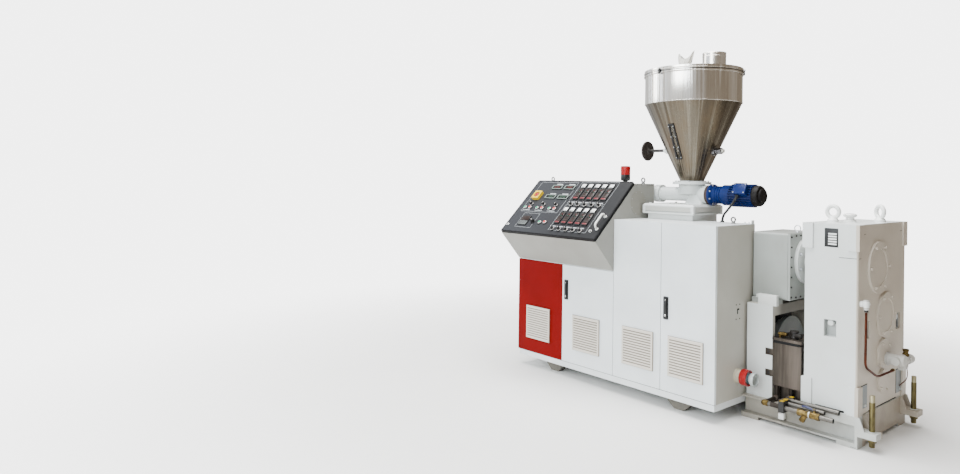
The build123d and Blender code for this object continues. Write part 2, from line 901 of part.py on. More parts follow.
with BuildPart() as beacon:
    beacon_x = joint_x - beacon_place[0]
    beacon_y = front_y + beacon_place[1]
    with BuildSketch(Plane.XY.offset(desk_top)):
        with Locations((beacon_x, beacon_y)):
            Circle(beacon_foot_radius)
    extrude(amount=beacon_foot_height)
    with BuildSketch(Plane.XY.offset(desk_top + beacon_foot_height)):
        with Locations((beacon_x, beacon_y)):
            Circle(beacon_radius)
    extrude(amount=beacon_base_height - beacon_foot_height)
    with BuildSketch(Plane.XY.offset(desk_top + beacon_base_height)):
        with Locations((beacon_x, beacon_y)):
            Circle(beacon_lens_radius)
    extrude(amount=beacon_lens_height)
    fillet(beacon.faces().sort_by(Axis.Z)[-1].edges(), beacon_round)
save(beacon.part, "beacon")

# Power inlet: a square flange with a round shrouded socket
with BuildPart() as power_inlet:
    inlet_y = front_y + inlet_setback
    with BuildSketch(Plane.YZ.offset(datum_x)):
        with Locations((inlet_y, inlet_height)):
            RectangleRounded(inlet_flange, inlet_flange, inlet_corner)
    extrude(amount=inlet_plate)
    inlet_face = datum_x + inlet_plate
    with BuildSketch(Plane.YZ.offset(inlet_face)):
        with Locations((inlet_y, inlet_height)):
            Circle(inlet_neck_radius)
    extrude(amount=inlet_neck_length)
    with BuildSketch(Plane.YZ.offset(inlet_face + inlet_neck_length)):
        with Locations((inlet_y, inlet_height)):
            Circle(inlet_radius)
    extrude(amount=inlet_shroud_length)
    with BuildSketch(Plane.YZ.offset(inlet_face + inlet_neck_length + inlet_shroud_length)):
        with Locations((inlet_y, inlet_height)):
            Circle(inlet_radius - inlet_wall)
    extrude(amount=-inlet_bore_depth, mode=Mode.SUBTRACT)
    with BuildSketch(Plane.YZ.offset(inlet_face + inlet_plug_start)):
        with Locations((inlet_y, inlet_height)):
            Circle(inlet_radius - inlet_plug_gap)
    extrude(amount=inlet_shroud_length)
save(power_inlet.part, "power_inlet")

# Barrel: a cone-shaped body with a die flange at its end
barrel_x = datum_x - barrel_left_end
with BuildPart() as barrel:
    with BuildSketch(Plane.XZ.offset(-screw_y)):
        with BuildLine():
            Polyline(
                (barrel_x, screw_height),
                (barrel_x, screw_height + barrel_flange_radius),
                (barrel_x + barrel_flange_thickness, screw_height + barrel_flange_radius),
                (barrel_x + barrel_flange_thickness, screw_height + barrel_front_radius),
                (datum_x + box_left - barrel_flange_thickness, screw_height + barrel_rear_radius),
                (datum_x + box_left, screw_height + barrel_rear_radius),
                (datum_x + box_left, screw_height),
                close=True,
            )
        make_face()
    revolve(axis=Axis((0, screw_y, screw_height), (1, 0, 0)))
    with BuildSketch(Plane.YZ.offset(barrel_x)):
        with Locations((screw_y, screw_height)):
            Circle(die_bore_radius)
    extrude(amount=barrel_flange_thickness, mode=Mode.SUBTRACT)
    with BuildSketch(Plane.YZ.offset(barrel_x)):
        with Locations((screw_y, screw_height)):
            with PolarLocations(die_bolt_circle / 2, die_bolts, start_angle=360 / die_bolts / 2):
                Circle(die_bolt_radius)
    extrude(amount=barrel_flange_thickness, mode=Mode.SUBTRACT)
save(barrel.part, "barrel")

# Sheet cover over the barrel, arched along its top edges, with vent slots in its sides
cover_wall = 3.0
with BuildPart() as barrel_cover:
    with BuildSketch(Plane.YZ.offset(datum_x - cover_left)):
        with Locations((screw_y, (cover_bottom + cover_top) / 2)):
            Rectangle(2 * cover_half_width, cover_top - cover_bottom)
    extrude(amount=cover_left)
    fillet(barrel_cover.edges().filter_by(Axis.X).group_by(Axis.Z)[-1], cover_half_width / 3)
    ends = barrel_cover.faces().filter_by(Axis.X)
    lowest = barrel_cover.faces().sort_by(Axis.Z)[0]
    offset(amount=-cover_wall, openings=[*ends, lowest])
    vent_x = datum_x - cover_left / 2
    with BuildSketch(Plane.XZ.offset(-screw_y)):
        with Locations((vent_x, (cover_bottom + cover_top) / 2)):
            with GridLocations(vent_pitch, 1, cover_vents, 1):
                SlotOverall(vent_size[1], vent_size[0], rotation=90)
    extrude(amount=cover_half_width + cover_wall, both=True, mode=Mode.SUBTRACT)
    for saddle_left in cover_saddles:
        saddle_station = barrel_left_end - barrel_flange_thickness - saddle_left + cover_saddle
        saddle_radius = barrel_front_radius + barrel_slope * saddle_station
        with BuildSketch(Plane.YZ.offset(datum_x - saddle_left)) as saddle:
            with Locations((screw_y, (cover_bottom + saddle_top) / 2)):
                Rectangle(2 * (cover_half_width - cover_wall), saddle_top - cover_bottom)
            with Locations((screw_y, screw_height)):
                Circle(saddle_radius, mode=Mode.SUBTRACT)
        extrude(saddle.sketch, amount=cover_saddle)
save(barrel_cover.part, "barrel_cover")

# Pedestal over the barrel's feed opening, with a channel-steel frame on top
pedestal_x = datum_x - pedestal_centre_left
with BuildPart() as feed_pedestal:
    with BuildSketch(Plane.XY.offset(tall_height)):
        with Locations((pedestal_x, pedestal_y)):
            RectangleRounded(*pedestal_size, pedestal_corner)
    extrude(amount=pedestal_top - tall_height)
    chute_y = (back_y + chute_clearance, pedestal_y + pedestal_size[1] / 2)
    with BuildSketch(Plane.XY.offset(cover_top)):
        with Locations((pedestal_x, sum(chute_y) / 2)):
            RectangleRounded(pedestal_size[0], chute_y[1] - chute_y[0], pedestal_corner)
    extrude(amount=tall_height - cover_top)
save(feed_pedestal.part, "feed_pedestal")

with BuildPart() as pedestal_frame:
    with BuildSketch(Plane.XY.offset(pedestal_top)):
        with Locations((pedestal_x, pedestal_y)):
            Rectangle(*frame_size)
    extrude(amount=frame_height)
    chamfer(pedestal_frame.faces().sort_by(Axis.Z)[-1].edges(), frame_bevel)
    recess_height = frame_height - 3 * frame_bevel
    recess_z = pedestal_top + frame_height / 2 - frame_bevel / 2
    for side in (-1, 1):
        face_y = pedestal_y + side * frame_size[1] / 2
        face_x = pedestal_x + side * frame_size[0] / 2
        for origin, outward, length in (
            ((pedestal_x, face_y, recess_z), (0, side, 0), frame_size[0]),
            ((face_x, pedestal_y, recess_z), (side, 0, 0), frame_size[1]),
        ):
            along = (-outward[1], outward[0], 0)
            with BuildSketch(Plane(origin=origin, x_dir=along, z_dir=outward)) as recess:
                Rectangle(length - 4 * frame_bevel, recess_height)
            extrude(recess.sketch, amount=-frame_recess, mode=Mode.SUBTRACT)
save(pedestal_frame.part, "pedestal_frame")

# Feeder: one casting with a screw tube, a neck under the hopper and an outlet over the pedestal
with BuildPart() as feeder_housing:
    tube_end = datum_x - feeder_left_end
    hub_left = datum_x - feeder_hub_left
    hub_right = datum_x - feeder_hub_right
    with BuildSketch(Plane.XZ.offset(-feeder_y)):
        with BuildLine():
            Polyline(
                (tube_end, feeder_height),
                (tube_end, feeder_height + feeder_ring_radius),
                (tube_end + feeder_ring_length, feeder_height + feeder_ring_radius),
                (tube_end + feeder_ring_length, feeder_height + feeder_tube_radius),
                (hub_left, feeder_height + feeder_tube_radius),
                (hub_left + feeder_hub_slope, feeder_height + feeder_hub_radius),
                (hub_right, feeder_height + feeder_hub_radius),
                (hub_right, feeder_height),
                close=True,
            )
        make_face()
    revolve(axis=Axis((0, feeder_y, feeder_height), (1, 0, 0)))
    with BuildSketch(Plane.XY.offset(feeder_height)):
        with Locations((hopper_x, feeder_y)):
            Circle(feeder_neck_radius)
    extrude(amount=feeder_flange_top - feeder_height)
    with BuildSketch(Plane.XY.offset(feeder_flange_top - feeder_flange_thickness)):
        with Locations((hopper_x, feeder_y)):
            Circle(feeder_flange_radius)
    extrude(amount=feeder_flange_thickness)
    with BuildSketch(Plane.XY.offset(frame_top)):
        with Locations((datum_x - outlet_left, feeder_y)):
            RectangleRounded(outlet_foot, outlet_foot, outlet_corner)
    with BuildSketch(Plane.XY.offset(feeder_height)):
        with Locations((datum_x - outlet_left, feeder_y)):
            Circle(outlet_radius)
    loft()
save(feeder_housing.part, "feeder_housing")

feeder_axis = Axis((0, feeder_y, feeder_height), (1, 0, 0))
with BuildPart() as feeder_gasket:
    with BuildSketch(Plane.YZ.offset(hub_right)):
        with Locations((feeder_y, feeder_height)):
            Circle(gasket_radius)
    extrude(amount=gasket_thickness)
save(feeder_gasket.part, "feeder_gasket")

reducer_left = hub_right + gasket_thickness
drum_radius = reducer_radius + reducer_drum_proud
motor_left = reducer_left + reducer_length
cowl_left = motor_left + motor_length
with BuildPart() as gear_reducer:
    with BuildSketch(Plane.XZ.offset(-feeder_y)):
        with BuildLine():
            Polyline(
                (reducer_left, feeder_height),
                (reducer_left, feeder_height + reducer_flange_radius),
                (reducer_left + reducer_flange_thickness, feeder_height + reducer_flange_radius),
                (reducer_left + reducer_neck_start, feeder_height + reducer_radius),
                (reducer_left + reducer_length * reducer_waist_share, feeder_height + reducer_radius),
                (reducer_left + reducer_length * reducer_drum_share, feeder_height + drum_radius),
                (motor_left, feeder_height + drum_radius),
                (motor_left, feeder_height),
                close=True,
            )
        make_face()
    revolve(axis=feeder_axis)
save(gear_reducer.part, "gear_reducer")


# Motors: a barrel with cooling fins all round
def finned_motor(left, length, centre, radius, fin, fins):
    """Add the finned shell of a motor whose axis runs along X."""
    with BuildSketch(Plane.YZ.offset(left)) as shell:
        with Locations(centre):
            Circle(radius)
            with PolarLocations(radius + fin / 2 - fin_root / 2, fins):
                Rectangle(fin + fin_root, radius * fin_share)
    extrude(shell.sketch, amount=length)


with BuildPart() as feeder_motor:
    motor_axis = (feeder_y, feeder_height)
    finned_motor(motor_left, motor_length, motor_axis, motor_radius, motor_fin_height, motor_fins)
    box_plane = Plane(
        origin=(datum_x - terminal_left, feeder_y, feeder_height), x_dir=(1, 0, 0), z_dir=(0, -2, 1)
    )
    with BuildSketch(box_plane.offset(motor_radius - terminal_seat)) as terminal_box:
        RectangleRounded(terminal_size[0], terminal_size[1], terminal_corner)
    extrude(terminal_box.sketch, amount=terminal_size[2])
save(feeder_motor.part, "feeder_motor")

with BuildPart() as motor_fan_cowl:
    with BuildSketch(Plane.YZ.offset(cowl_left)):
        with Locations((feeder_y, feeder_height)):
            Circle(cowl_radius)
    extrude(amount=cowl_length)
    fillet(motor_fan_cowl.faces().sort_by(Axis.X)[-1].edges(), cowl_radius * fan_cowl_round_share)
save(motor_fan_cowl.part, "motor_fan_cowl")

# Cable from the feeder motor's terminal box down to the cabinet's top
cable_exit = box_plane.offset(motor_radius - terminal_seat + terminal_size[2] / 2).from_local_coords(
    (-terminal_size[0] / 4, -terminal_size[1] / 2, 0)
)
cable_way_out = box_plane.y_dir * -cable_lead
cable_foot = Vector(datum_x - cable_foot_left, front_y + cable_foot_setback, tall_height)
cable_points = (
    cable_exit,
    cable_exit + cable_way_out,
    Vector(datum_x - cable_low_left, front_y + cable_low_setback, tall_height + cable_low_rise),
    cable_foot + Vector(0, 0, cable_foot_rise),
    cable_foot,
)


def bend_radii(points):
    """Return the arc for each corner of a route, from its shorter run and half the turn."""
    radii = []
    for before, corner, after in zip(points, points[1:], points[2:]):
        into = corner - before
        out_of = after - corner
        turn = radians(into.get_angle(out_of))
        radii.append(cable_bend_share * min(into.length, out_of.length) / tan(turn / 2))
    return radii


cable_radii = bend_radii(cable_points)
print("cable bend radii", [round(radius, 1) for radius in cable_radii])
with BuildPart() as motor_cable:
    with BuildLine() as cable_line:
        FilletPolyline(*cable_points, radius=cable_radii)
    with BuildSketch(Plane(origin=cable_line.line @ 0, z_dir=cable_line.line % 0)):
        Circle(cable_radius)
    sweep()
save(motor_cable.part, "motor_cable")

# Hopper: a spun stainless shell, open at both ends
with BuildPart() as hopper_shell:
    with BuildSketch(Plane.XZ.offset(-feeder_y)):
        with BuildLine():
            Polyline(
                (hopper_x + hopper_outlet_radius, feeder_flange_top),
                (hopper_x + hopper_outlet_radius, hopper_foot),
                (hopper_x + hopper_radius, hopper_shoulder),
                (hopper_x + hopper_radius, hopper_rim),
                (hopper_x + hopper_radius - hopper_wall, hopper_rim),
                (hopper_x + hopper_radius - hopper_wall, hopper_shoulder),
                (hopper_x + hopper_outlet_radius - hopper_wall, hopper_foot),
                (hopper_x + hopper_outlet_radius - hopper_wall, feeder_flange_top),
                close=True,
            )
        make_face()
    revolve(axis=Axis((hopper_x, feeder_y, 0), (0, 0, 1)))
save(hopper_shell.part, "hopper_shell")

with BuildPart() as hopper_lid:
    band_outer = hopper_radius + rim_band_proud
    with BuildSketch(Plane.XZ.offset(-feeder_y)):
        with BuildLine():
            Polyline(
                (hopper_x, hopper_rim),
                (hopper_x + hopper_radius, hopper_rim),
                (hopper_x + hopper_radius, hopper_rim - rim_band_height),
                (hopper_x + band_outer, hopper_rim - rim_band_height),
                (hopper_x + band_outer, hopper_rim + lid_plate + lid_bead),
                (hopper_x + hopper_radius - lid_bead_inset, hopper_rim + lid_plate + lid_bead),
                (hopper_x + hopper_radius - lid_bead_inset - lid_bead_slope, hopper_rim + lid_plate),
                (hopper_x, hopper_rim + lid_plate + lid_dish),
                close=True,
            )
        make_face()
    revolve(axis=Axis((hopper_x, feeder_y, 0), (0, 0, 1)))
    with BuildSketch(Plane.XY.offset(hopper_rim)):
        with Locations((hopper_x + inlet_stub_offset, feeder_y)):
            Circle(inlet_stub_radius)
    extrude(amount=rim_band_height, mode=Mode.SUBTRACT)
save(hopper_lid.part, "hopper_lid")

with BuildPart() as hopper_inlet:
    with BuildSketch(Plane.XY.offset(hopper_rim)):
        with Locations((hopper_x + inlet_stub_offset, feeder_y)):
            Circle(inlet_stub_radius)
            Circle(inlet_stub_radius - inlet_stub_wall, mode=Mode.SUBTRACT)
    extrude(amount=inlet_stub_height)
save(hopper_inlet.part, "hopper_inlet")

with BuildPart() as hopper_bag:
    bag_foot = hopper_rim + lid_plate + lid_dish
    bag_x = hopper_x - bag_offset
    for height, shift, radii in (
        (bag_foot, 0, bag_foot_radii),
        (bag_foot + bag_waist_rise, bag_waist_shift, bag_waist_radii),
        (hopper_rim + bag_height, bag_tip_shift, bag_tip_radii),
    ):
        with BuildSketch(Plane.XY.offset(height)):
            with Locations((bag_x + shift, feeder_y)):
                Ellipse(*radii)
    loft()
save(hopper_bag.part, "hopper_bag")


def cone_radius(height):
    """Return the outer radius of the hopper's cone at a height."""
    share = (height - hopper_foot) / (hopper_shoulder - hopper_foot)
    return hopper_outlet_radius + share * (hopper_radius - hopper_outlet_radius)


def cut_cone():
    """Cut the part that is being built back to the outside of the hopper's cone."""
    height = hopper_shoulder - hopper_foot
    with Locations((hopper_x, feeder_y, hopper_foot)):
        Cone(
            hopper_outlet_radius,
            hopper_radius,
            height,
            align=(Align.CENTER, Align.CENTER, Align.MIN),
            mode=Mode.SUBTRACT,
        )


# Sight glass on the operator's side of the cone
cone_lean = atan2(hopper_radius - hopper_outlet_radius, hopper_shoulder - hopper_foot)
sight_middle = (sight_low + sight_high) / 2
sight_plane = Plane(
    origin=(hopper_x, feeder_y - cone_radius(sight_middle), sight_middle),
    x_dir=(1, 0, 0),
    z_dir=(0, -cos(cone_lean), -sin(cone_lean)),
)
sight_length = (sight_high - sight_low) / cos(cone_lean)
with BuildPart() as sight_glass:
    with BuildSketch(sight_plane.offset(seat_gap)):
        SlotOverall(sight_length, sight_width, rotation=90)
    extrude(amount=sight_thickness)
save(sight_glass.part, "sight_glass")

with BuildPart() as level_sensor:
    sensor_x = hopper_x + cone_radius(sensor_height)
    with BuildSketch(Plane.YZ.offset(sensor_x - sensor_radius)):
        with Locations((feeder_y, sensor_height)):
            Circle(sensor_radius)
    extrude(amount=sensor_length + sensor_radius)
    cut_cone()
save(level_sensor.part, "level_sensor")

with BuildPart() as hopper_plunger:
    boss_right = hopper_x - cone_radius(plunger_height) + plunger_boss_radius
    boss_left = hopper_x - cone_radius(plunger_height) - plunger_boss_length
    rod_left = hopper_x - plunger_reach
    with BuildSketch(Plane.XZ.offset(-feeder_y)):
        with BuildLine():
            Polyline(
                (boss_right, plunger_height),
                (boss_right, plunger_height + plunger_boss_radius),
                (boss_left, plunger_height + plunger_boss_radius),
                (boss_left, plunger_height + plunger_rod_radius),
                (rod_left + plunger_disc_thickness, plunger_height + plunger_rod_radius),
                (rod_left + plunger_disc_thickness, plunger_height + plunger_disc_radius),
                (rod_left, plunger_height + plunger_disc_radius),
                (rod_left, plunger_height),
                close=True,
            )
        make_face()
    revolve(axis=Axis((0, feeder_y, plunger_height), (1, 0, 0)))
    cut_cone()
save(hopper_plunger.part, "hopper_plunger")

# Distribution gearbox behind the coupling
with BuildPart() as distribution_gearbox:
    with BuildSketch(Plane.YZ.offset(datum_x + box_left)):
        with Locations((screw_y, (box_bottom + box_top) / 2)):
            RectangleRounded(2 * box_half_width, box_top - box_bottom, box_corner)
    extrude(amount=box_right - box_left - end_plate)
    with BuildSketch(Plane.YZ.offset(datum_x + box_right - end_plate)):
        with Locations((screw_y, (box_bottom + box_top) / 2)):
            Rectangle(2 * (box_half_width - end_plate_inset), box_top - box_bottom - 2 * end_plate_inset)
    extrude(amount=end_plate)
    foot_span = ((datum_x + box_left, datum_x + box_foot_right), (portal_top, portal_top + box_foot_height))
    for side in (-1, 1):
        rail_edge = screw_y + side * (box_half_width + box_foot_ledge)
        slab(foot_span[0], sorted((rail_edge, rail_edge - side * box_foot_width)), foot_span[1])
save(distribution_gearbox.part, "distribution_gearbox")

with BuildPart() as coupling_flange:
    ring_left = datum_x + box_right
    gear_left = datum_x + tall_box_left
    drum_left = ring_left + ring_thickness + coupling_neck_length
    with BuildSketch(Plane.XZ.offset(-screw_y)):
        with BuildLine():
            Polyline(
                (ring_left, screw_height),
                (ring_left, screw_height + ring_radius),
                (ring_left + ring_thickness, screw_height + ring_radius),
                (ring_left + ring_thickness, screw_height + coupling_neck_radius),
                (drum_left, screw_height + coupling_neck_radius),
                (drum_left, screw_height + coupling_radius),
                (gear_left - coupling_hub_length, screw_height + coupling_radius),
                (gear_left - coupling_hub_length, screw_height + coupling_hub_radius),
                (gear_left, screw_height + coupling_hub_radius),
                (gear_left, screw_height),
                close=True,
            )
        make_face()
    revolve(axis=Axis((0, screw_y, screw_height), (1, 0, 0)))
save(coupling_flange.part, "coupling_flange")

# Portal that carries the distribution gearbox
with BuildPart() as portal_frame:
    portal_x = (datum_x + box_left, datum_x + portal_right)
    front_of_portal = front_y + portal_front
    back_of_portal = front_y + portal_back
    slab(portal_x, (front_of_portal, back_of_portal), (portal_top - portal_beam, portal_top))
    slab(portal_x, (front_of_portal, front_of_portal + portal_plate), (deck_top, portal_top - portal_beam))
    slab(portal_x, (back_of_portal - portal_plate, back_of_portal), (deck_top, portal_top - portal_beam))
save(portal_frame.part, "portal_frame")

# Tall reduction gearbox: a cast case with proud corner pads and lifting pockets
with BuildPart() as reduction_gearbox:
    case_x = (datum_x + tall_box_left, datum_x + tall_box_right)
    case_y = (front_y + tall_box_front, front_y + tall_box_back)
    slab(case_x, case_y, (bed_top, tall_box_top))
    fillet(reduction_gearbox.edges().filter_by(Axis.Z), case_corner)
    for z_span in ((bed_top, bed_top + bottom_pad_height), (tall_box_top - top_pad_height, tall_box_top)):
        for x_side in (0, 1):
            for y_side in (0, 1):
                x_edge = case_x[x_side] + (2 * x_side - 1) * pad_proud
                y_edge = case_y[y_side] + (2 * y_side - 1) * pad_proud
                x_pad = sorted((x_edge, x_edge - (2 * x_side - 1) * pad_width))
                y_pad = sorted((y_edge, y_edge - (2 * y_side - 1) * pad_width))
                slab(x_pad, y_pad, z_span)
    middle_x = (case_x[0] + case_x[1]) / 2
    pocket_z = (pocket_bottom, pocket_bottom + pocket_size[1])
    pocket_x = (middle_x - pocket_size[0] / 2, middle_x + pocket_size[0] / 2)
    slab(pocket_x, (case_y[0], case_y[0] + pocket_depth), pocket_z, mode=Mode.SUBTRACT)
    slab(pocket_x, (case_y[1] - pocket_depth, case_y[1]), pocket_z, mode=Mode.SUBTRACT)
    for pocket_y, pocket_mid in side_pockets:
        y_span = (front_y + pocket_y - pocket_size[0] / 2, front_y + pocket_y + pocket_size[0] / 2)
        z_span = (pocket_mid - pocket_size[1] / 2, pocket_mid + pocket_size[1] / 2)
        slab((case_x[1] - pocket_depth, case_x[1]), y_span, z_span, mode=Mode.SUBTRACT)
save(reduction_gearbox.part, "reduction_gearbox")

with BuildPart() as gearbox_cover_discs:
    case_height = tall_box_top - bed_top
    for number, setback in enumerate(cover_setbacks):
        cover_place = (front_y + setback, bed_top + cover_height_shares[number] * case_height)
        cover_radius = cover_radius_shares[number] * case_height
        with BuildSketch(Plane.YZ.offset(case_x[1])) as disc:
            with Locations(cover_place):
                Circle(cover_radius)
        extrude(disc.sketch, amount=cover_thickness)
        if number < 2:
            with BuildSketch(Plane.YZ.offset(case_x[1] + cover_thickness)) as recess:
                with Locations(cover_place):
                    Circle(cover_radius * cover_rim_share)
            extrude(recess.sketch, amount=-cover_thickness / 2, mode=Mode.SUBTRACT)
save(gearbox_cover_discs.part, "gearbox_cover_discs")

with BuildPart() as gearbox_top_fittings:
    for eye_place in large_eye_places:
        eye_spot = (datum_x + eye_place[0], front_y + eye_place[1], tall_box_top)
        eye_bolt(eye_spot, large_eye_radius, large_eye_wire)
    with BuildSketch(Plane.XY.offset(tall_box_top)) as breather_stem:
        with Locations((datum_x + breather_place[0], front_y + breather_place[1])):
            Circle(breather_stem_radius)
    extrude(breather_stem.sketch, amount=breather_stem_height)
    with BuildSketch(Plane.XY.offset(tall_box_top + breather_stem_height)) as breather_cap:
        with Locations((datum_x + breather_place[0], front_y + breather_place[1])):
            Circle(breather_cap_radius)
    extrude(breather_cap.sketch, amount=breather_cap_height, taper=breather_taper)
save(gearbox_top_fittings.part, "gearbox_top_fittings")

# Oil pump on the third cover, and the elbow where its pipe enters the gearbox
face_x = case_x[1]
pipe_x = face_x + pipe_stand_off
pump_y = front_y + pump_setback
with BuildPart() as oil_pump:
    pump_foot = face_x + cover_thickness
    with BuildSketch(Plane.YZ.offset(pump_foot)):
        with Locations((pump_y, pump_height)):
            Circle(pump_flange_radius)
    extrude(amount=pump_flange_thickness)
    with BuildSketch(Plane.YZ.offset(pump_foot + pump_flange_thickness)):
        with Locations((pump_y, pump_height)):
            Circle(pump_radius)
    extrude(amount=pump_length - pump_flange_thickness)
    fillet(oil_pump.faces().sort_by(Axis.X)[-1].edges(), pump_round)
    with BuildSketch(Plane.XZ.offset(-pump_y)) as pump_side:
        with Locations((pump_foot + pump_side_start, pump_height)):
            Circle(pump_side_radius)
    extrude(pump_side.sketch, amount=-pump_side_reach)
    with BuildSketch(Plane.XY.offset(pipe_top - elbow_size / 2)):
        with Locations((pipe_x, front_y + pipe_setback)):
            RegularPolygon(elbow_size / 3, nut_sides)
    extrude(amount=elbow_size)
    with BuildSketch(Plane.YZ.offset(face_x)):
        with Locations((front_y + pipe_setback, pipe_top)):
            Circle(elbow_size / 4)
    extrude(amount=pipe_stand_off)
save(oil_pump.part, "oil_pump")

pipe_points = (
    Vector(pipe_x, front_y + pipe_setback, pipe_top - elbow_size / 2),
    Vector(pipe_x, front_y + pipe_setback, pipe_bend),
    Vector(pipe_x, front_y + pipe_low[0], pipe_low[1]),
    Vector(pipe_x, pump_y - pump_radius - pipe_radius / 2, pump_height),
)
with BuildPart() as oil_pipe:
    with BuildLine() as pipe_line:
        FilletPolyline(*pipe_points, radius=pipe_arc)
    with BuildSketch(Plane(origin=pipe_line.line @ 0, z_dir=pipe_line.line % 0)):
        Circle(pipe_radius)
    sweep()
save(oil_pipe.part, "oil_pipe")

# Main motor under the distribution gearbox, with its shaft to the tall gearbox
with BuildPart() as main_motor:
    motor_y = front_y + main_motor_setback
    portal_underside = portal_top - portal_beam
    motor_flange_radius = (portal_underside - bed_top) / 2 - motor_headroom
    main_radius = motor_flange_radius * main_motor_share
    motor_centre = (motor_y, (portal_underside + bed_top) / 2)
    motor_span = (datum_x - main_motor_left, datum_x + main_motor_right)
    motor_run = motor_span[1] - motor_span[0]
    finned_motor(motor_span[0], motor_run, motor_centre, main_radius, main_motor_fin, main_motor_fins)
    with BuildSketch(Plane.YZ.offset(motor_span[1])) as motor_flange:
        with Locations(motor_centre):
            Circle(motor_flange_radius)
    extrude(motor_flange.sketch, amount=main_flange_thickness)
    with BuildSketch(Plane.YZ.offset(motor_span[1] + main_flange_thickness)) as drive_shaft:
        with Locations(motor_centre):
            Circle(drive_coupling_radius)
    extrude(drive_shaft.sketch, amount=tall_box_left - main_motor_right - main_flange_thickness)
    for place in main_foot_places:
        foot_x = (datum_x - place - main_foot_width / 2, datum_x - place + main_foot_width / 2)
        foot_top = motor_centre[1] - main_radius * main_foot_share
        slab(foot_x, (motor_y - main_radius, motor_y + main_radius), (bed_top, foot_top))
save(main_motor.part, "main_motor")

# Oil tank: a folded stainless box with a slot under its lid
with BuildPart() as oil_tank:
    tank_x = (datum_x + tank_left, datum_x + tank_right)
    tank_y = (front_y + tank_front, front_y + tank_back)
    slot_z = (tank_top - tank_lid - tank_slot, tank_top - tank_lid)
    slab(tank_x, tank_y, (tank_bottom, slot_z[0]))
    slab(
        (tank_x[0] + tank_slot_depth, tank_x[1] - tank_slot_depth),
        (tank_y[0] + tank_slot_depth, tank_y[1] - tank_slot_depth),
        slot_z,
    )
    slab(
        (tank_x[0] - tank_lid_overhang, tank_x[1] + tank_lid_overhang),
        (tank_y[0] - tank_lid_overhang, tank_y[1] + tank_lid_overhang),
        (slot_z[1], tank_top),
    )
    for leg_y in (tank_y[0] + tank_leg_inset, tank_y[1] - tank_leg_inset):
        leg_x = (tank_x[0] + tank_leg_margin, tank_x[1] - tank_leg_margin)
        slab(leg_x, (leg_y - tank_leg / 2, leg_y + tank_leg / 2), (deck_top, tank_bottom))
save(oil_tank.part, "oil_tank")

# Water pipes before the bed, in a clamp that reaches back onto the deck; two of them turn in
# under the oil tank and rise to it
clamp_x = (datum_x + clamp_left, datum_x + clamp_left + clamp_width)
pipe_places = [
    (front_y + setback, deck_top + rise) for setback, rise in zip(water_pipe_setbacks, water_pipe_rises)
]
with BuildPart() as water_pipes:
    clamp_z = (pipe_places[0][1] - clamp_under - water_pipe_radius, pipe_places[2][1] + clamp_lip)
    clamp_y = (pipe_places[0][0] - water_pipe_radius - clamp_lip, front_y + bed_front)
    slab(clamp_x, clamp_y, clamp_z)
    slab(clamp_x, (clamp_y[1], front_y + clamp_back), (deck_top, clamp_z[1]))
    for place, left_end, right_end in zip(pipe_places, water_pipe_left, water_pipe_right):
        with BuildSketch(Plane.YZ.offset(datum_x + left_end)) as pipe_ring:
            with Locations(place):
                Circle(water_pipe_radius)
        extrude(pipe_ring.sketch, amount=right_end - left_end)
    for place, left_end in zip(pipe_places[:2], water_pipe_left):
        bend = (datum_x + left_end, front_y + riser_setback, place[1])
        with BuildSketch(Plane.XZ.offset(-place[0])) as way_back:
            with Locations((bend[0], place[1])):
                Circle(water_pipe_radius)
        extrude(way_back.sketch, amount=place[0] - bend[1])
        with BuildSketch(Plane.XY.offset(place[1])) as riser:
            with Locations((bend[0], bend[1])):
                Circle(water_pipe_radius)
        extrude(riser.sketch, amount=tank_bottom - place[1])
        with Locations((bend[0], place[0], place[1]), bend):
            Sphere(water_pipe_radius)
    for place, left_end, right_end in zip(pipe_places, water_pipe_left, water_pipe_right):
        bore_start = max(left_end, clamp_left) + clamp_width + water_pipe_radius
        with BuildSketch(Plane.YZ.offset(datum_x + right_end)) as bore:
            with Locations(place):
                Circle(water_pipe_radius - water_pipe_wall)
        extrude(bore.sketch, amount=bore_start - right_end, mode=Mode.SUBTRACT)
save(water_pipes.part, "water_pipes")

# Strainer and ball valve round the front pipe
with BuildPart() as water_valve:
    valve_left = datum_x + valve_left_end
    valve_y, valve_z = pipe_places[0]
    with BuildSketch(Plane.XZ.offset(-valve_y)):
        with BuildLine():
            Polyline(
                (valve_left, valve_z),
                (valve_left, valve_z + valve_radius),
                (valve_left + valve_length * valve_neck_shares[0], valve_z + valve_neck_radius),
                (valve_left + valve_length * valve_neck_shares[1], valve_z + valve_neck_radius),
                (valve_left + valve_length * valve_ball_share, valve_z + valve_radius),
                (valve_left + valve_length, valve_z + valve_radius),
                (valve_left + valve_length, valve_z),
                close=True,
            )
        make_face()
    revolve(axis=Axis((0, valve_y, valve_z), (1, 0, 0)))
    with BuildSketch(Plane(origin=(valve_left + strainer_start, valve_y, valve_z), z_dir=(-1, 0, -2))):
        Circle(strainer_radius)
    extrude(amount=strainer_length)
    with BuildSketch(Plane.XY.offset(valve_z + valve_radius / 2)):
        with Locations((valve_left + valve_length * valve_stem_share, valve_y)):
            Circle(valve_radius / 3)
    extrude(amount=valve_radius)
    with BuildSketch(Plane.YZ.offset(valve_left)):
        with Locations((valve_y, valve_z)):
            Circle(water_pipe_radius + valve_fit)
    extrude(amount=valve_length, both=True, mode=Mode.SUBTRACT)
save(water_valve.part, "water_valve")

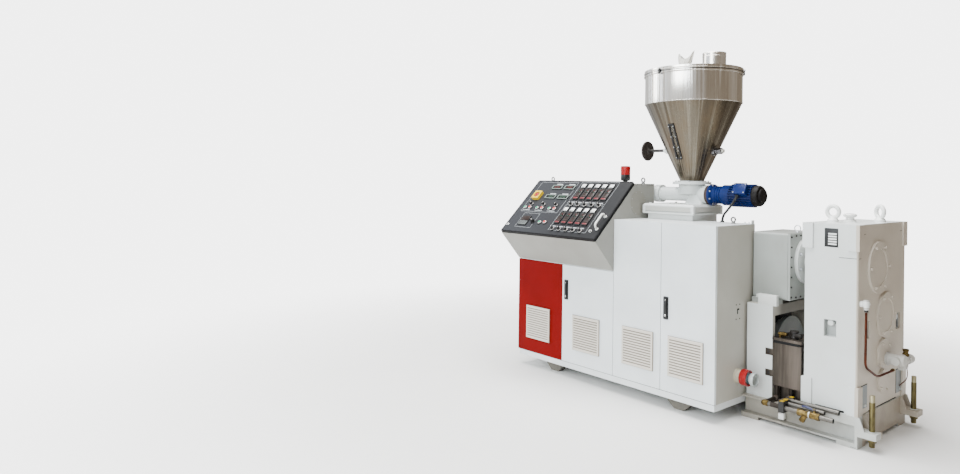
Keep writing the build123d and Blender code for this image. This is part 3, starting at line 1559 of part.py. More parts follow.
# Bed: channel rails round a deck, a narrow part behind the cabinets, pads and jacking lugs
with BuildPart() as bed:
    wide_x = (datum_x + box_left - bed_under_box, datum_x + bed_right)
    wide_y = (front_y + bed_front, front_y + bed_back)
    narrow_x = (datum_x - bed_left_end, datum_x + box_left - bed_under_box)
    narrow_y = (front_y + bed_narrow_front, front_y + bed_narrow_back)
    slab(wide_x, wide_y, (deck_top - deck_plate, deck_top))
    slab(narrow_x, narrow_y, (deck_top - deck_plate, deck_top))
    for rail_y, inward in ((wide_y[0], 1), (wide_y[1], -1)):
        with BuildSketch(Plane.YZ.offset(wide_x[0])) as channel:
            with BuildLine():
                Polyline(
                    (rail_y, bed_bottom),
                    (rail_y + inward * bed_flange, bed_bottom),
                    (rail_y + inward * bed_flange, deck_top),
                    (rail_y, deck_top),
                    (rail_y, deck_top - bed_web),
                    (rail_y + inward * (bed_flange - bed_web), deck_top - bed_web),
                    (rail_y + inward * (bed_flange - bed_web), bed_bottom + bed_web),
                    (rail_y, bed_bottom + bed_web),
                    close=True,
                )
            make_face()
        extrude(channel.sketch, amount=wide_x[1] - wide_x[0])
    for rail_y, inward in ((narrow_y[0], 1), (narrow_y[1], -1)):
        slab(narrow_x, sorted((rail_y, rail_y + inward * narrow_rail)), (bed_bottom, bed_top))
    slab((wide_x[1] - bed_end_plate, wide_x[1]), wide_y, (bed_bottom, bed_top))
    slab((datum_x + tall_box_left, wide_x[1]), wide_y, (deck_top, bed_top))
    for pad_x in (narrow_x[0] + pad_size / 2, wide_x[0] + pad_size / 2, wide_x[1] - pad_size / 2):
        pair = narrow_y if pad_x < wide_x[0] else wide_y
        for pad_y in (pair[0] + pad_size / 2, pair[1] - pad_size / 2):
            pad_spans = [(middle - pad_size / 2, middle + pad_size / 2) for middle in (pad_x, pad_y)]
            slab(*pad_spans, (0, bed_bottom))
    for place in screw_places:
        lug_y = front_y + place
        lug_span = (lug_y - lug_width / 2, lug_y + lug_width / 2)
        slab((wide_x[1], wide_x[1] + lug_reach), lug_span, (lug_bottom, lug_top))
        for gusset_y in (lug_y - lug_width / 2, lug_y + lug_width / 2 - gusset):
            with BuildSketch(Plane.XZ.offset(-gusset_y)) as web:
                with BuildLine():
                    Polyline(
                        (wide_x[1], lug_top),
                        (wide_x[1] + gusset_foot, lug_top),
                        (wide_x[1] + gusset, bed_top),
                        (wide_x[1], bed_top),
                        close=True,
                    )
                make_face()
            extrude(web.sketch, amount=-gusset)
        with Locations((wide_x[1] + screw_reach, lug_y, lug_bottom)):
            Cylinder(screw_radius, 3 * lug_top, mode=Mode.SUBTRACT)
save(bed.part, "bed")

with BuildPart() as jacking_screws:
    for place in screw_places:
        with BuildSketch(Plane.XY.offset(screw_bottom)) as stud:
            with Locations((wide_x[1] + screw_reach, front_y + place)):
                Circle(screw_radius)
        extrude(stud.sketch, amount=screw_top - screw_bottom)
        for nut_foot in (lug_top, lug_bottom - nut_height):
            with BuildSketch(Plane.XY.offset(nut_foot)) as nut:
                with Locations((wide_x[1] + screw_reach, front_y + place)):
                    RegularPolygon(nut_radius, nut_sides)
            extrude(nut.sketch, amount=nut_height)
save(jacking_screws.part, "jacking_screws")

# Column under the front of the barrel, on a plate across the narrow rails
with BuildPart() as barrel_column:
    column_x = datum_x - column_left
    slab(
        (column_x - column_plate / 2, column_x + column_plate / 2),
        (front_y + bed_narrow_front, front_y + bed_narrow_back),
        (bed_top, bed_top + column_base),
    )
    with BuildSketch(Plane.XY.offset(bed_top + column_base)):
        with Locations((column_x, screw_y)):
            RectangleRounded(column_size[0], column_size[1], column_corner)
            column_bore = [side - 2 * column_wall for side in column_size]
            RectangleRounded(*column_bore, column_corner - column_wall, mode=Mode.SUBTRACT)
    extrude(amount=column_top - bed_top - column_base)
    slab(
        (column_x - column_plate / 2, column_x + column_plate / 2),
        (screw_y - column_size[1] / 2 - column_ledge, screw_y + column_size[1] / 2 + column_ledge),
        (column_top, column_top + column_base),
    )
    with BuildSketch(Plane.YZ.offset(column_x - column_cradle / 2)):
        with BuildLine():
            Polyline(
                (screw_y - column_size[1] / 2, column_top + column_base),
                (screw_y + column_size[1] / 2, column_top + column_base),
                (screw_y + column_size[1] / 2, screw_height - cradle_under_screw),
                (screw_y - column_size[1] / 2, screw_height - cradle_under_screw),
                close=True,
            )
        make_face()
        with Locations((screw_y, screw_height)):
            Circle(cradle_radius, mode=Mode.SUBTRACT)
    extrude(amount=column_cradle)
save(barrel_column.part, "barrel_column")
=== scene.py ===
import bmesh
import bpy
from math import atan2, cos, pi, radians, sin
from mathutils import Matrix, Vector


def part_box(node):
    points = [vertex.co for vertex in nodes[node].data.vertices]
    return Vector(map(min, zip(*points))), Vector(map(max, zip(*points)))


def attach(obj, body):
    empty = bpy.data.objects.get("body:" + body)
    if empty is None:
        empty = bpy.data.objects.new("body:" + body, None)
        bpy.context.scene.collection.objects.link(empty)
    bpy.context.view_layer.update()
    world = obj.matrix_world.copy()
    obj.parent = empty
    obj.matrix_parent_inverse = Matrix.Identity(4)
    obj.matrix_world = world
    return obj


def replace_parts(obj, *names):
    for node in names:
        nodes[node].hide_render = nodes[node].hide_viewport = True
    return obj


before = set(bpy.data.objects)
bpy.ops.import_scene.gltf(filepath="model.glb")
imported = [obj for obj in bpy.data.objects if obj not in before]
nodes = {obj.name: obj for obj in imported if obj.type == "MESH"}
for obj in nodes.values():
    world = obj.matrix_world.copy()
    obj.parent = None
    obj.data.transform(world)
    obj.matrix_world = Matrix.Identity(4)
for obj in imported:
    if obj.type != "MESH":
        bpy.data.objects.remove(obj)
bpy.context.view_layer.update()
scene = bpy.context.scene


# Camera
# Stands in front of the machine and to its right, level with the hopper's foot. It keeps the whole
# width of the photo, with the machine in its right half.
picture_width = 960
focal_pixels = 675.9
sensor_width = 36.0
camera_place = (2.813, -4.0775, 1.470)
heading = Vector((-0.77515, 0.63177, 0.00299)).normalized()
roll = 0.012
level_right = heading.cross(Vector((0, 0, 1))).normalized()
level_up = level_right.cross(heading)
right = level_right * cos(roll) + level_up * sin(roll)
up = level_up * cos(roll) - level_right * sin(roll)
camera_data = bpy.data.cameras.new("camera")
camera_data.sensor_width = sensor_width
camera_data.lens = focal_pixels / picture_width * sensor_width
camera_data.shift_y = -0.0628
camera_data.clip_start = 0.05
camera_data.clip_end = 60
camera = bpy.data.objects.new("camera", camera_data)
camera.matrix_world = Matrix.Translation(camera_place) @ Matrix((right, up, -heading)).transposed().to_4x4()
scene.collection.objects.link(camera)
scene.camera = camera


# Cable of the feeder motor
# Black rubber-sheathed cable, run from the side of the terminal box down through the cabinet's roof.
class Tone:
    """A socket of a material that is added, scaled and compared like a number."""

    def __init__(self, finish, socket):
        self.finish = finish
        self.socket = socket

    def combine(self, operation, first, second):
        return self.finish.node("ShaderNodeMath", {"operation": operation}, {0: first, 1: second})

    def __add__(self, other):
        return self.combine("ADD", self, other)

    def __radd__(self, other):
        return self.combine("ADD", other, self)

    def __sub__(self, other):
        return self.combine("SUBTRACT", self, other)

    def __rsub__(self, other):
        return self.combine("SUBTRACT", other, self)

    def __mul__(self, other):
        return self.combine("MULTIPLY", self, other)

    def __rmul__(self, other):
        return self.combine("MULTIPLY", other, self)

    def over(self, edge, softness=0.001):
        """0 below an edge and 1 above it, with a soft passage."""
        settings = {"interpolation_type": "SMOOTHSTEP"}
        values = {0: self, 1: edge - softness, 2: edge + softness, 3: 0.0, 4: 1.0}
        return self.finish.node("ShaderNodeMapRange", settings, values)

    def under(self, edge, softness=0.001):
        return 1.0 - self.over(edge, softness)


class Finish:
    """A material built from procedural nodes round one shader."""

    def __init__(self, name, **sockets):
        self.material = bpy.data.materials.new(name)
        self.material.use_nodes = True
        self.tree = self.material.node_tree
        self.shader = self.tree.nodes["Principled BSDF"]
        self.feed(**sockets)

    def node(self, kind, settings=None, values=None, output=0):
        """Add one node, set it up, link or set its inputs and return an output."""
        made = self.tree.nodes.new(kind)
        for key, value in (settings or {}).items():
            setattr(made, key, value)
        for key, value in (values or {}).items():
            self.join(made.inputs[key], value)
        return Tone(self, made.outputs[output])

    def join(self, socket, value):
        if isinstance(value, Tone):
            self.tree.links.new(value.socket, socket)
        else:
            socket.default_value = value

    def feed(self, **sockets):
        """Set the shader's sockets, named in words joined by underscores."""
        for key, value in sockets.items():
            self.join(self.shader.inputs[key.replace("_", " ")], value)

    def vector(self, operation, first, second=None, output=0):
        values = {0: first} if second is None else {0: first, 1: second}
        return self.node("ShaderNodeVectorMath", {"operation": operation}, values, output)

    def place(self):
        return self.node("ShaderNodeTexCoord", output="Object")

    def axis(self, number):
        """One coordinate of the surface point, in metres."""
        return self.node("ShaderNodeSeparateXYZ", values={0: self.place()}, output=number)

    def mottle(self, scale, detail=3.0, stretch=(1, 1, 1), roughness=0.55):
        """Uneven noise from 0 to 1, drawn out along the axes with small factors."""
        point = self.place()
        if stretch != (1, 1, 1):
            point = self.vector("MULTIPLY", point, stretch)
        values = {"Vector": point, "Scale": scale, "Detail": detail, "Roughness": roughness}
        return self.node("ShaderNodeTexNoise", values=values)

    def blend(self, low, high, share):
        """A colour between two colours."""
        return self.node("ShaderNodeMix", {"data_type": "RGBA"}, {0: share, 6: low, 7: high}, output=2)

    def relief(self, height, depth, edge=0.0):
        """Feed the shader's normal from a height, with rounded edges where an edge radius is given."""
        values = {"Height": height, "Distance": depth, "Strength": 1.0}
        if edge:
            values["Normal"] = self.node("ShaderNodeBevel", {"samples": 4}, {"Radius": edge})
        self.feed(Normal=self.node("ShaderNodeBump", values=values))

    def edges(self, radius):
        """1 on worn edges and 0 on flats."""
        softened = self.node("ShaderNodeBevel", {"samples": 4}, {"Radius": radius})
        flat = self.node("ShaderNodeNewGeometry", output="Normal")
        return (1.0 - self.vector("DOT_PRODUCT", softened, flat, "Value")) * 6.0


def swatch(red, green, blue):
    """Turn a screen colour of 0 to 255 into the linear one that a shader takes."""
    channels = [value / 255 for value in (red, green, blue)]
    linear = [value / 12.92 if value < 0.04045 else ((value + 0.055) / 1.055) ** 2.4 for value in channels]
    return (*linear, 1.0)


def rubber(name, colour, shine=0.62):
    finish = Finish(name, Roughness=shine, Specular_IOR_Level=0.35)
    worn = tuple(0.6 * value + 0.05 for value in colour[:3]) + (1.0,)
    finish.feed(Base_Color=finish.blend(colour, worn, finish.mottle(60, 4).over(0.62, 0.2)))
    finish.relief(finish.mottle(900, 2), 0.0003)
    return finish.material


def link(name, data, finish, body="machine"):
    """Put a piece in the scene, give it its finish and let it ride on a body."""
    piece = bpy.data.objects.new(name, data)
    scene.collection.objects.link(piece)
    data.materials.append(finish)
    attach(piece, body)
    return piece


black_rubber = rubber("black_rubber", swatch(16, 15, 15))
cable_exit = (0.437, 0.0402, 1.3829)
cable_bend = (0.437, 0.0276, 1.3579)
grommet_place = (0.342, 0.0245, 1.200)
cable_points = (cable_exit, cable_bend, (0.395, 0.0135, 1.292), (0.342, 0.0245, 1.240), grommet_place)
cable_radius = 0.0080
route = bpy.data.curves.new("feeder_cable", "CURVE")
route.dimensions = "3D"
route.bevel_depth = cable_radius
route.bevel_resolution = 5
line = route.splines.new("NURBS")
line.points.add(len(cable_points) - 1)
for point, place in zip(line.points, cable_points):
    point.co = (*place, 1.0)
line.order_u = 3
line.use_endpoint_u = True
line.resolution_u = 24
feeder_cable = link("feeder_cable", route, black_rubber)
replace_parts(feeder_cable, "motor_cable")


# Cabinets
# Folded sheet steel in bluish white enamel on a folded plinth, with dark steel feet, a galvanised
# plate inside each cabinet, and screws, a cable notch painted black as painted shade and a roof
# bracket on the right side. The right side panels take the white darkened to warm grey as painted shade.
def skin_of(finish, tone, shine, grain, edge):
    """Feed a painted finish its colour, a slightly uneven shine and an orange-peel skin."""
    finish.feed(Base_Color=tone, Roughness=shine + 0.12 * (finish.mottle(9, 4) - 0.5))
    finish.relief(finish.mottle(420, 2), grain, edge)
    return finish.material


def darker(colour, share):
    return (*(share * value for value in colour[:3]), 1.0)


def clouded(finish, colour, shade):
    """Two tones of one paint, in broad soft clouds."""
    return finish.blend(colour, shade, finish.mottle(3.2, 5).over(0.52, 0.22))


def enamel(
    name, colour, shade=None, shine=0.38, dirt=0.0, wear=0.0, grain=0.00025, edge=0.0015, coat=0.15, gloss=0.4
):
    """Paint with a faint orange-peel skin, uneven cloudiness, dust near the floor and worn edges."""
    finish = Finish(name, Specular_IOR_Level=gloss, Coat_Roughness=0.15, Coat_Weight=coat)
    tone = clouded(finish, colour, shade or darker(colour, 0.90))
    if dirt:
        specks = finish.mottle(26, 6, (1, 1, 0.25)).over(0.60, 0.12)
        tone = finish.blend(tone, swatch(120, 114, 104), specks * dirt * 0.4)
        low = finish.axis(2).under(0.14, 0.14) * finish.mottle(12, 5).over(0.5, 0.22)
        tone = finish.blend(tone, swatch(130, 122, 110), low * dirt)
    if wear:
        chipped = finish.edges(0.0022) * finish.mottle(70, 3).over(0.47, 0.1)
        tone = finish.blend(tone, swatch(96, 92, 86), chipped * wear)
    return skin_of(finish, tone, shine, grain, edge)


def zinc(name, colour, shine=0.42):
    """Galvanised steel with its crystal patches."""
    finish = Finish(name, Metallic=0.9)
    values = {"Vector": finish.place(), "Scale": 90.0}
    flakes = finish.node("ShaderNodeTexVoronoi", values=values, output="Color")
    level = finish.node("ShaderNodeSeparateXYZ", values={0: flakes}, output=0)
    pale = tuple(min(1.0, 1.18 * value) for value in colour[:3]) + (1.0,)
    finish.feed(Base_Color=finish.blend(colour, pale, level), Roughness=shine + 0.14 * (level - 0.5))
    finish.relief(finish.mottle(300, 2), 0.0001)
    return finish.material


def dress(finish, *names):
    """Give CAD nodes their finish."""
    for name in names:
        mesh = nodes[name].data
        mesh.materials.clear()
        mesh.materials.append(finish)


def at(place, facing=(0, 0, 1), turn=0.0):
    """Where a shape goes, when its own axis points up at its own origin."""
    swing = Vector(facing).to_track_quat("Z", "Y").to_matrix().to_4x4()
    return Matrix.Translation(place) @ swing @ Matrix.Rotation(turn, 4, "Z")


def block(width, depth, height, edge=0.0):
    """A block that stands on its origin, with rounded edges."""
    shape = bmesh.new()
    bmesh.ops.create_cube(shape, size=1.0)
    for corner in shape.verts:
        corner.co = (corner.co.x * width, corner.co.y * depth, (corner.co.z + 0.5) * height)
    if edge:
        bmesh.ops.bevel(
            shape, geom=shape.edges[:], offset=edge, segments=2, profile=0.5, affect="EDGES", material=-1
        )
    return shape


def turned(profile, steps=32):
    """A turned shape: its profile is radius and height, from the foot to the top."""
    shape = bmesh.new()
    line = [shape.verts.new((radius, 0, height)) for radius, height in profile]
    edges = [shape.edges.new(pair) for pair in zip(line, line[1:])]
    bmesh.ops.spin(
        shape, geom=line + edges, cent=(0, 0, 0), axis=(0, 0, 1), angle=2 * pi, steps=steps, use_merge=True
    )
    bmesh.ops.remove_doubles(shape, verts=shape.verts[:], dist=1e-6)
    bmesh.ops.recalc_face_normals(shape, faces=shape.faces[:])
    return shape


def disc(radius, height, edge=0.0, steps=32):
    """A round slab that stands on its origin, with its upper edge eased."""
    rim = [(radius, height - edge), (radius - edge, height)] if edge else [(radius, height)]
    return turned([(0, 0), (radius, 0), *rim, (0, height)], steps)


def merge(shapes):
    """One shape from rows of a shape and the places where it stands."""
    whole = bmesh.new()
    for shape, *places in shapes:
        for place in places or (Matrix(),):
            mesh = bpy.data.meshes.new("shape")
            shape.to_mesh(mesh)
            mesh.transform(place)
            whole.from_mesh(mesh)
            bpy.data.meshes.remove(mesh)
        shape.free()
    return whole


def bolt(across, rise=0.65):
    """A hexagon head on its washer."""
    half = across / 2
    top = rise * across
    head = turned([(0, 0), (1.12 * half, 0), (1.12 * half, 0.85 * top), (0.9 * half, top), (0, top)], 6)
    washer = disc(1.3 * half, 0.13 * across, 0.02 * across, 20)
    return merge([(head, Matrix.Translation((0, 0, 0.12 * across))), (washer,)])


def make(name, finish, shapes, body="machine"):
    """Finish a piece made of shapes at their places and let it ride on its body."""
    whole = merge(shapes)
    mesh = bpy.data.meshes.new(name)
    whole.to_mesh(mesh)
    whole.free()
    mesh.shade_smooth()
    mesh.set_sharp_from_angle(angle=radians(35))
    return link(name, mesh, finish, body)


cabinet_white = enamel("cabinet_white", swatch(216, 220, 221), dirt=0.08)
# The side panels: the cabinets' white darkened to a warm grey, as painted shade.
shaded_side_white = enamel("shaded_side_white", swatch(174, 172, 163), swatch(166, 163, 153), dirt=0.08)
dark_foot = enamel("dark_foot", swatch(92, 88, 80), shine=0.5, dirt=0.35)
galvanised = zinc("galvanised", swatch(178, 181, 184))
black_paint = enamel("black_paint", swatch(8, 8, 8), shine=0.5, coat=0.0, gloss=0.2)
dress(cabinet_white, "cabinet_plinth", "cabinet_tops", "rear_panels")
dress(shaded_side_white, "cabinet_sides")
dress(dark_foot, "cabinet_feet")
dress(galvanised, "mounting_plates")
out_right = (1, 0, 0)
side_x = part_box("cabinet_sides")[1].x
roof_z = 1.2
bracket_y = 0.032
# Black plates in the cable notch: painted shade in the opening.
make("cable_notch_shade", black_paint, [
    (block(0.010, 0.034, 0.0008), at((side_x, -0.1465, 0.660), out_right)),
    (block(0.024, 0.010, 0.0008), at((side_x, -0.1395, 0.672), out_right)),
])
screw_places = [at((side_x, y, z), out_right) for y in (-0.163, -0.122) for z in (0.612, 0.702)]
make("side_screws", black_paint, [(disc(0.0042, 0.0018, 0.0008, 16), *screw_places)])
make("roof_bracket", cabinet_white, [
    (block(0.070, 0.034, 0.0025, 0.0008), at((0.518, bracket_y, roof_z))),
    (block(0.0025, 0.034, 0.024, 0.0008), at((0.553, bracket_y, roof_z))),
    (bolt(0.010), *(at((x, bracket_y, roof_z + 0.0025)) for x in (0.500, 0.528))),
])


# Doors
# Folded trays in the cabinets' enamel, one of them red, with a rubber seal glued inside each fold.
red_enamel = enamel("red_enamel", swatch(108, 0, 1), swatch(98, 0, 1), shine=0.5, coat=0.0, gloss=0.06)
door_white = enamel("door_white", swatch(219, 224, 226))
seal_rubber = rubber("seal_rubber", swatch(46, 46, 48))
doors = ("red_door", "low_white_door", "tall_left_door", "tall_right_door")
dress(red_enamel, doors[0])
dress(door_white, *doors[1:])
out_back = (0, 1, 0)
seal_inset = 0.009
for door in doors:
    low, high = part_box(door)
    middle = (low + high) / 2
    seal_y = low.y + 0.0021
    sides = [at((x, seal_y, middle.z), out_back) for x in (low.x + seal_inset, high.x - seal_inset)]
    ends = [at((middle.x, seal_y, z), out_back) for z in (low.z + seal_inset, high.z - seal_inset)]
    make(door + "_seal", seal_rubber, [
        (block(0.009, high.z - low.z - 0.010, 0.011, 0.002), *sides),
        (block(high.x - low.x - 0.028, 0.009, 0.011, 0.002), *ends),
    ], door)


# Door filters
# Moulded beige grilles that clip into the doors, with a small retaining clip at each corner.
def grille(name, colour, groove):
    """Beige plastic whose grooves, set back from the front, hold shade and dust."""
    finish = Finish(name, Specular_IOR_Level=0.4)
    depth = finish.axis(1).over(-0.4068, 0.0018)
    dust = finish.mottle(40, 5).over(0.5, 0.2) * 0.4
    tone = finish.blend(finish.blend(colour, groove, depth), groove, dust * depth)
    finish.feed(Base_Color=tone, Roughness=0.5)
    finish.relief(finish.mottle(900, 1), 0.0001, 0.0005)
    return finish.material


filter_beige = grille("filter_beige", swatch(200, 192, 180), swatch(96, 84, 72))
out_front = (0, -1, 0)
clip_inset = 0.007
for door in doors:
    dress(filter_beige, door + "_filter")
    low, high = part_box(door + "_filter")
    clip_x = (low.x + clip_inset, high.x - clip_inset)
    clip_z = (low.z + clip_inset, high.z - clip_inset)
    places = [at((x, low.y + 0.0002, z), out_front) for x in clip_x for z in clip_z]
    clips = [(block(0.006, 0.006, 0.0012, 0.0006), *places)]
    make(door + "_filter_clips", filter_beige, clips, door)


# Swing handles
# Black die-cast trays with a raised lever, a chrome lock barrel at the foot and a pivot pin on top.
def plastic(name, colour, shine=0.42, coat=0.0, edge=0.0006):
    """Moulded plastic with a fine skin and slightly uneven gloss."""
    finish = Finish(name, Specular_IOR_Level=0.45, Coat_Roughness=0.08)
    tone = finish.blend(colour, darker(colour, 0.88), finish.mottle(34, 4))
    finish.feed(Base_Color=tone, Coat_Weight=coat, Roughness=shine + 0.1 * (finish.mottle(120, 2) - 0.5))
    finish.relief(finish.mottle(1500, 1), 0.00015, edge)
    return finish.material


black_plastic = plastic("black_plastic", swatch(11, 11, 12))
chrome = Finish("chrome", Metallic=1.0, Base_Color=swatch(206, 206, 204))
chrome.feed(Roughness=0.14 + 0.1 * chrome.mottle(160, 3))
chrome.relief(chrome.mottle(500, 2), 0.00003, 0.0005)
for handle, door in (("low_door_handle", "low_white_door"), ("tall_door_handle", "tall_right_door")):
    dress(black_plastic, handle)
    low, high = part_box(handle)
    middle = (low.x + high.x) / 2
    lock_z = low.z + 0.026
    make(handle + "_lock", chrome.material, [
        (disc(0.0075, 0.0022, 0.0006), at((middle, low.y + 0.0008, lock_z), out_front)),
        (block(0.0018, 0.008, 0.0008), at((middle, low.y - 0.0012, lock_z), out_front)),
        (disc(0.004, 0.0016, 0.0006, 16), at((middle, low.y + 0.0008, high.z - 0.022), out_front)),
    ], door)
    lever = block(0.012, 0.070, 0.003, 0.0012), at((middle, low.y + 0.0012, low.z + 0.080), out_front)
    make(handle + "_lever", black_plastic, [lever], door)


# Dark strips in the doors' gaps
# Black strips as painted shade in the 3 mm gaps between the doors: one on the right door's closing
# edge, one on the sheet between the cabinets and one along the plinth.
gap_shade_rubber = rubber("gap_shade_rubber", swatch(12, 12, 12), 0.7)
door_low, door_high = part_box("tall_left_door")
gap_shade_y = door_low.y + 0.0048
gap_shade_height = door_high.z - door_low.z
closing_gap_shade = block(0.0018, 0.0080, gap_shade_height, 0.0003), at((0.1660, gap_shade_y, door_low.z))
make("closing_gap_shade", gap_shade_rubber, [closing_gap_shade], "tall_right_door")
make("cabinet_gap_shades", gap_shade_rubber, [
    (block(0.0022, 0.0180, gap_shade_height, 0.0003), at((-0.2250, gap_shade_y + 0.0050, door_low.z))),
    (block(1.738, 0.0080, 0.0021, 0.0003), at((-0.314, gap_shade_y, 0.119))),
])


# Control desk
# Sheet-steel cheeks and apron, painted a darker warm grey as painted shade, with a round cover
# riveted to the right cheek.
def ring_of(centre, radius, count, facing, start=0.0):
    """Places spread round an axis, the first of them at the start angle."""
    first, second = [axis for axis in range(3) if not facing[axis]]
    places = []
    for step in range(count):
        angle = start + 2 * pi * step / count
        spot = list(centre)
        spot[first] += radius * cos(angle)
        spot[second] += radius * sin(angle)
        places.append(at(spot, facing))
    return places


# Warm grey darker than the cabinets' white: painted shade on the cheeks and apron.
desk_shade_grey = enamel("desk_shade_grey", swatch(138, 137, 131), swatch(130, 128, 121), coat=0.05, gloss=0.3)
cover_shade = enamel("cover_shade", swatch(132, 129, 120), swatch(124, 121, 112), coat=0.0)
dress(desk_shade_grey, "desk_cheeks", "desk_apron")
cover_centre = (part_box("desk_cheeks")[1].x, -0.1325, 1.310)
rivets = disc(0.003, 0.0016, 0.0008, 12), *ring_of(cover_centre, 0.080, 8, out_right, pi / 8)
make("side_cover_rivets", galvanised, [rivets])
side_cover = disc(0.088, 0.0012, 0.0004, 72), at(cover_centre, out_right)
make("side_cover", cover_shade, [side_cover])


# Desk lid
# Dark grey textured enamel with a black border along its edges, drawn by the place on the lid.
lid_low = Vector((-1.188, -0.6045, 1.067))
lid_slope = radians(43.45)
lid_width, lid_length = 0.963, 0.5759
lid_border = 0.011


def panel(name, colour, shaded_end, border):
    """Dark panel enamel with a black border, darker towards its right end as painted shade."""
    finish = Finish(name, Specular_IOR_Level=0.10)
    along = finish.axis(0) - lid_low.x
    upward = (finish.axis(1) - lid_low.y) * cos(lid_slope) + (finish.axis(2) - lid_low.z) * sin(lid_slope)
    across_field = along.over(lid_border) * along.under(lid_width - lid_border)
    field = across_field * upward.over(lid_border) * upward.under(lid_length - lid_border)
    tone = finish.blend(colour, shaded_end, along.over(0.50, 0.45) * 0.8 + 0.2 * finish.mottle(2.6, 5))
    finish.feed(Base_Color=finish.blend(border, tone, field))
    finish.feed(Roughness=0.46 + 0.12 * (finish.mottle(14, 4) - 0.5))
    finish.relief(finish.mottle(700, 2), 0.0002, 0.002)
    return finish.material


dress(panel("panel_grey", swatch(46, 47, 50), swatch(26, 26, 27), swatch(4, 4, 5)), "desk_lid")


# Outlines and legends on the lid
# Thin pale lines screened round each group, and blank legend strips under the switches.
lid_frame = Matrix.Translation(lid_low) @ Matrix.Rotation(lid_slope, 4, "X")


def on_lid(u, v, rise=0.0, turn=0.0):
    """A place on the lid, in millimetres from its lower left corner."""
    return lid_frame @ Matrix.Translation((u / 1000, v / 1000, rise / 1000)) @ Matrix.Rotation(turn, 4, "Z")


def plate(width, height, rise, edge=0.0):
    """A flat plate of millimetres, standing on its middle."""
    return block(width / 1000, height / 1000, rise / 1000, edge / 1000)


def lid_piece(name, finish, shapes):
    return make(name, finish, shapes, "desk_lid")


pale_line = plastic("pale_line", swatch(164, 168, 170), shine=0.5)
controller_rows = ((511, 370), (499, 118))
controller_spots = [(left + 67 * number + 25, foot) for left, foot in controller_rows for number in range(5)]
switch_columns = (81, 215, 348)
groups = ((57, 225, 452, 555), (121, 57, 290, 205), (486, 330, 845, 563), (486, 54, 845, 318))
outlines = []
for left, foot, end, top in groups:
    outlines.append((plate(end - left, 1.6, 0.3), *(on_lid((left + end) / 2, v) for v in (foot, top))))
    outlines.append((plate(1.6, top - foot, 0.3), *(on_lid(u, (foot + top) / 2) for u in (left, end))))
lid_piece("panel_outlines", pale_line, outlines)
lid_piece("panel_legends", pale_line, [
    (plate(34, 7, 0.4, 0.15), *(on_lid(u, foot - 25) for u, foot in controller_spots)),
    (plate(80, 7, 0.4, 0.15), *(on_lid(u + 27, 240) for u in switch_columns)),
    (plate(62, 9, 0.4, 0.15), *(on_lid(u, v) for u in (269, 399) for v in (425, 532))),
])


# Lid locks
# Turned chrome cylinders in round collars at the lid's lower corners.
lid_locks = []
for u, v in ((27, 74), (878, 76)):
    lid_locks.append((disc(0.013, 0.002, 0.0008), on_lid(u, v)))
    lid_locks.append((disc(0.0095, 0.0065, 0.001), on_lid(u, v, 2)))
    lid_locks.append((plate(2.2, 11, 0.5), on_lid(u, v, 8.4, 0.5)))
lid_piece("lid_locks", chrome.material, lid_locks)


# Temperature controllers and their meters
# Black bezels pressed into the lid, brown glass faces with small figures, a red band at the foot,
# and a white square meter with a needle over each.
black_glass = Finish("black_glass", Base_Color=swatch(16, 13, 12), Specular_IOR_Level=0.25)
black_glass.feed(Roughness=0.12, Coat_Weight=0.1)
brown_face = Finish("brown_face", Specular_IOR_Level=0.2, Coat_Weight=0.05)
face_tone = brown_face.blend(swatch(36, 24, 20), swatch(26, 17, 14), brown_face.mottle(18, 3))
brown_face.feed(Base_Color=face_tone, Roughness=0.3)
meter_white = plastic("meter_white", swatch(238, 240, 238), shine=0.3, coat=0.3)
segments = {
    "0": "abcdef", "1": "bc", "2": "abged", "3": "abgcd", "4": "fgbc",
    "5": "afgcd", "6": "afgedc", "7": "abc", "8": "abcdefg", "9": "abcdfg",
}
strokes = {
    "a": (0, 1, True), "g": (0, 0.5, True), "d": (0, 0, True),
    "f": (-0.5, 0.75, False), "b": (0.5, 0.75, False), "e": (-0.5, 0.25, False), "c": (0.5, 0.25, False),
}


def figures(text, u, v, rise, height):
    """A row of lit seven-stroke figures, centred on a place of the lid."""
    width, pitch, stroke = 0.52 * height, 0.78 * height, 0.11 * height
    rows = []
    for number, figure in enumerate(text):
        middle = u + (number - (len(text) - 1) / 2) * pitch
        for letter in segments[figure]:
            across, up_share, flat = strokes[letter]
            size = (width - stroke, stroke) if flat else (stroke, height / 2 - stroke)
            place = on_lid(middle + across * width, v + (up_share - 0.5) * height, rise)
            rows.append((plate(*size, 0.25), place))
    return rows


dress(black_plastic, "temperature_controllers")
readings = ("175", "178", "180", "182", "185", "168", "170", "172", "176", "165")
dial_rise, needle_foot, scale_radius = 9.2, 8, 15.0
red_figures, green_figures, marks = [], [], []
for number, (u, foot) in enumerate(controller_spots):
    column = number % 5
    red_figures += figures(readings[number], u, foot + 91, 9.3, 9.0)
    green_figures += figures(readings[4 - column], u, foot + 77, 9.3, 7.0)
    pivot_v = foot + 143 - needle_foot
    for step in range(9):
        angle = radians(-48 + 12 * step)
        u_mark, v_mark = u + scale_radius * sin(angle), pivot_v + scale_radius * cos(angle)
        marks.append((plate(0.5, 2.8, 0.15), on_lid(u_mark, v_mark, dial_rise, -angle)))
    lean = radians(-30 + 11 * column)
    needle = on_lid(u + 8 * sin(lean), pivot_v + 8 * cos(lean), dial_rise, -lean)
    marks.append((plate(0.6, 17, 0.2), needle))
    marks.append((plate(30, 7, 0.3), on_lid(u, foot + 130, dial_rise)))
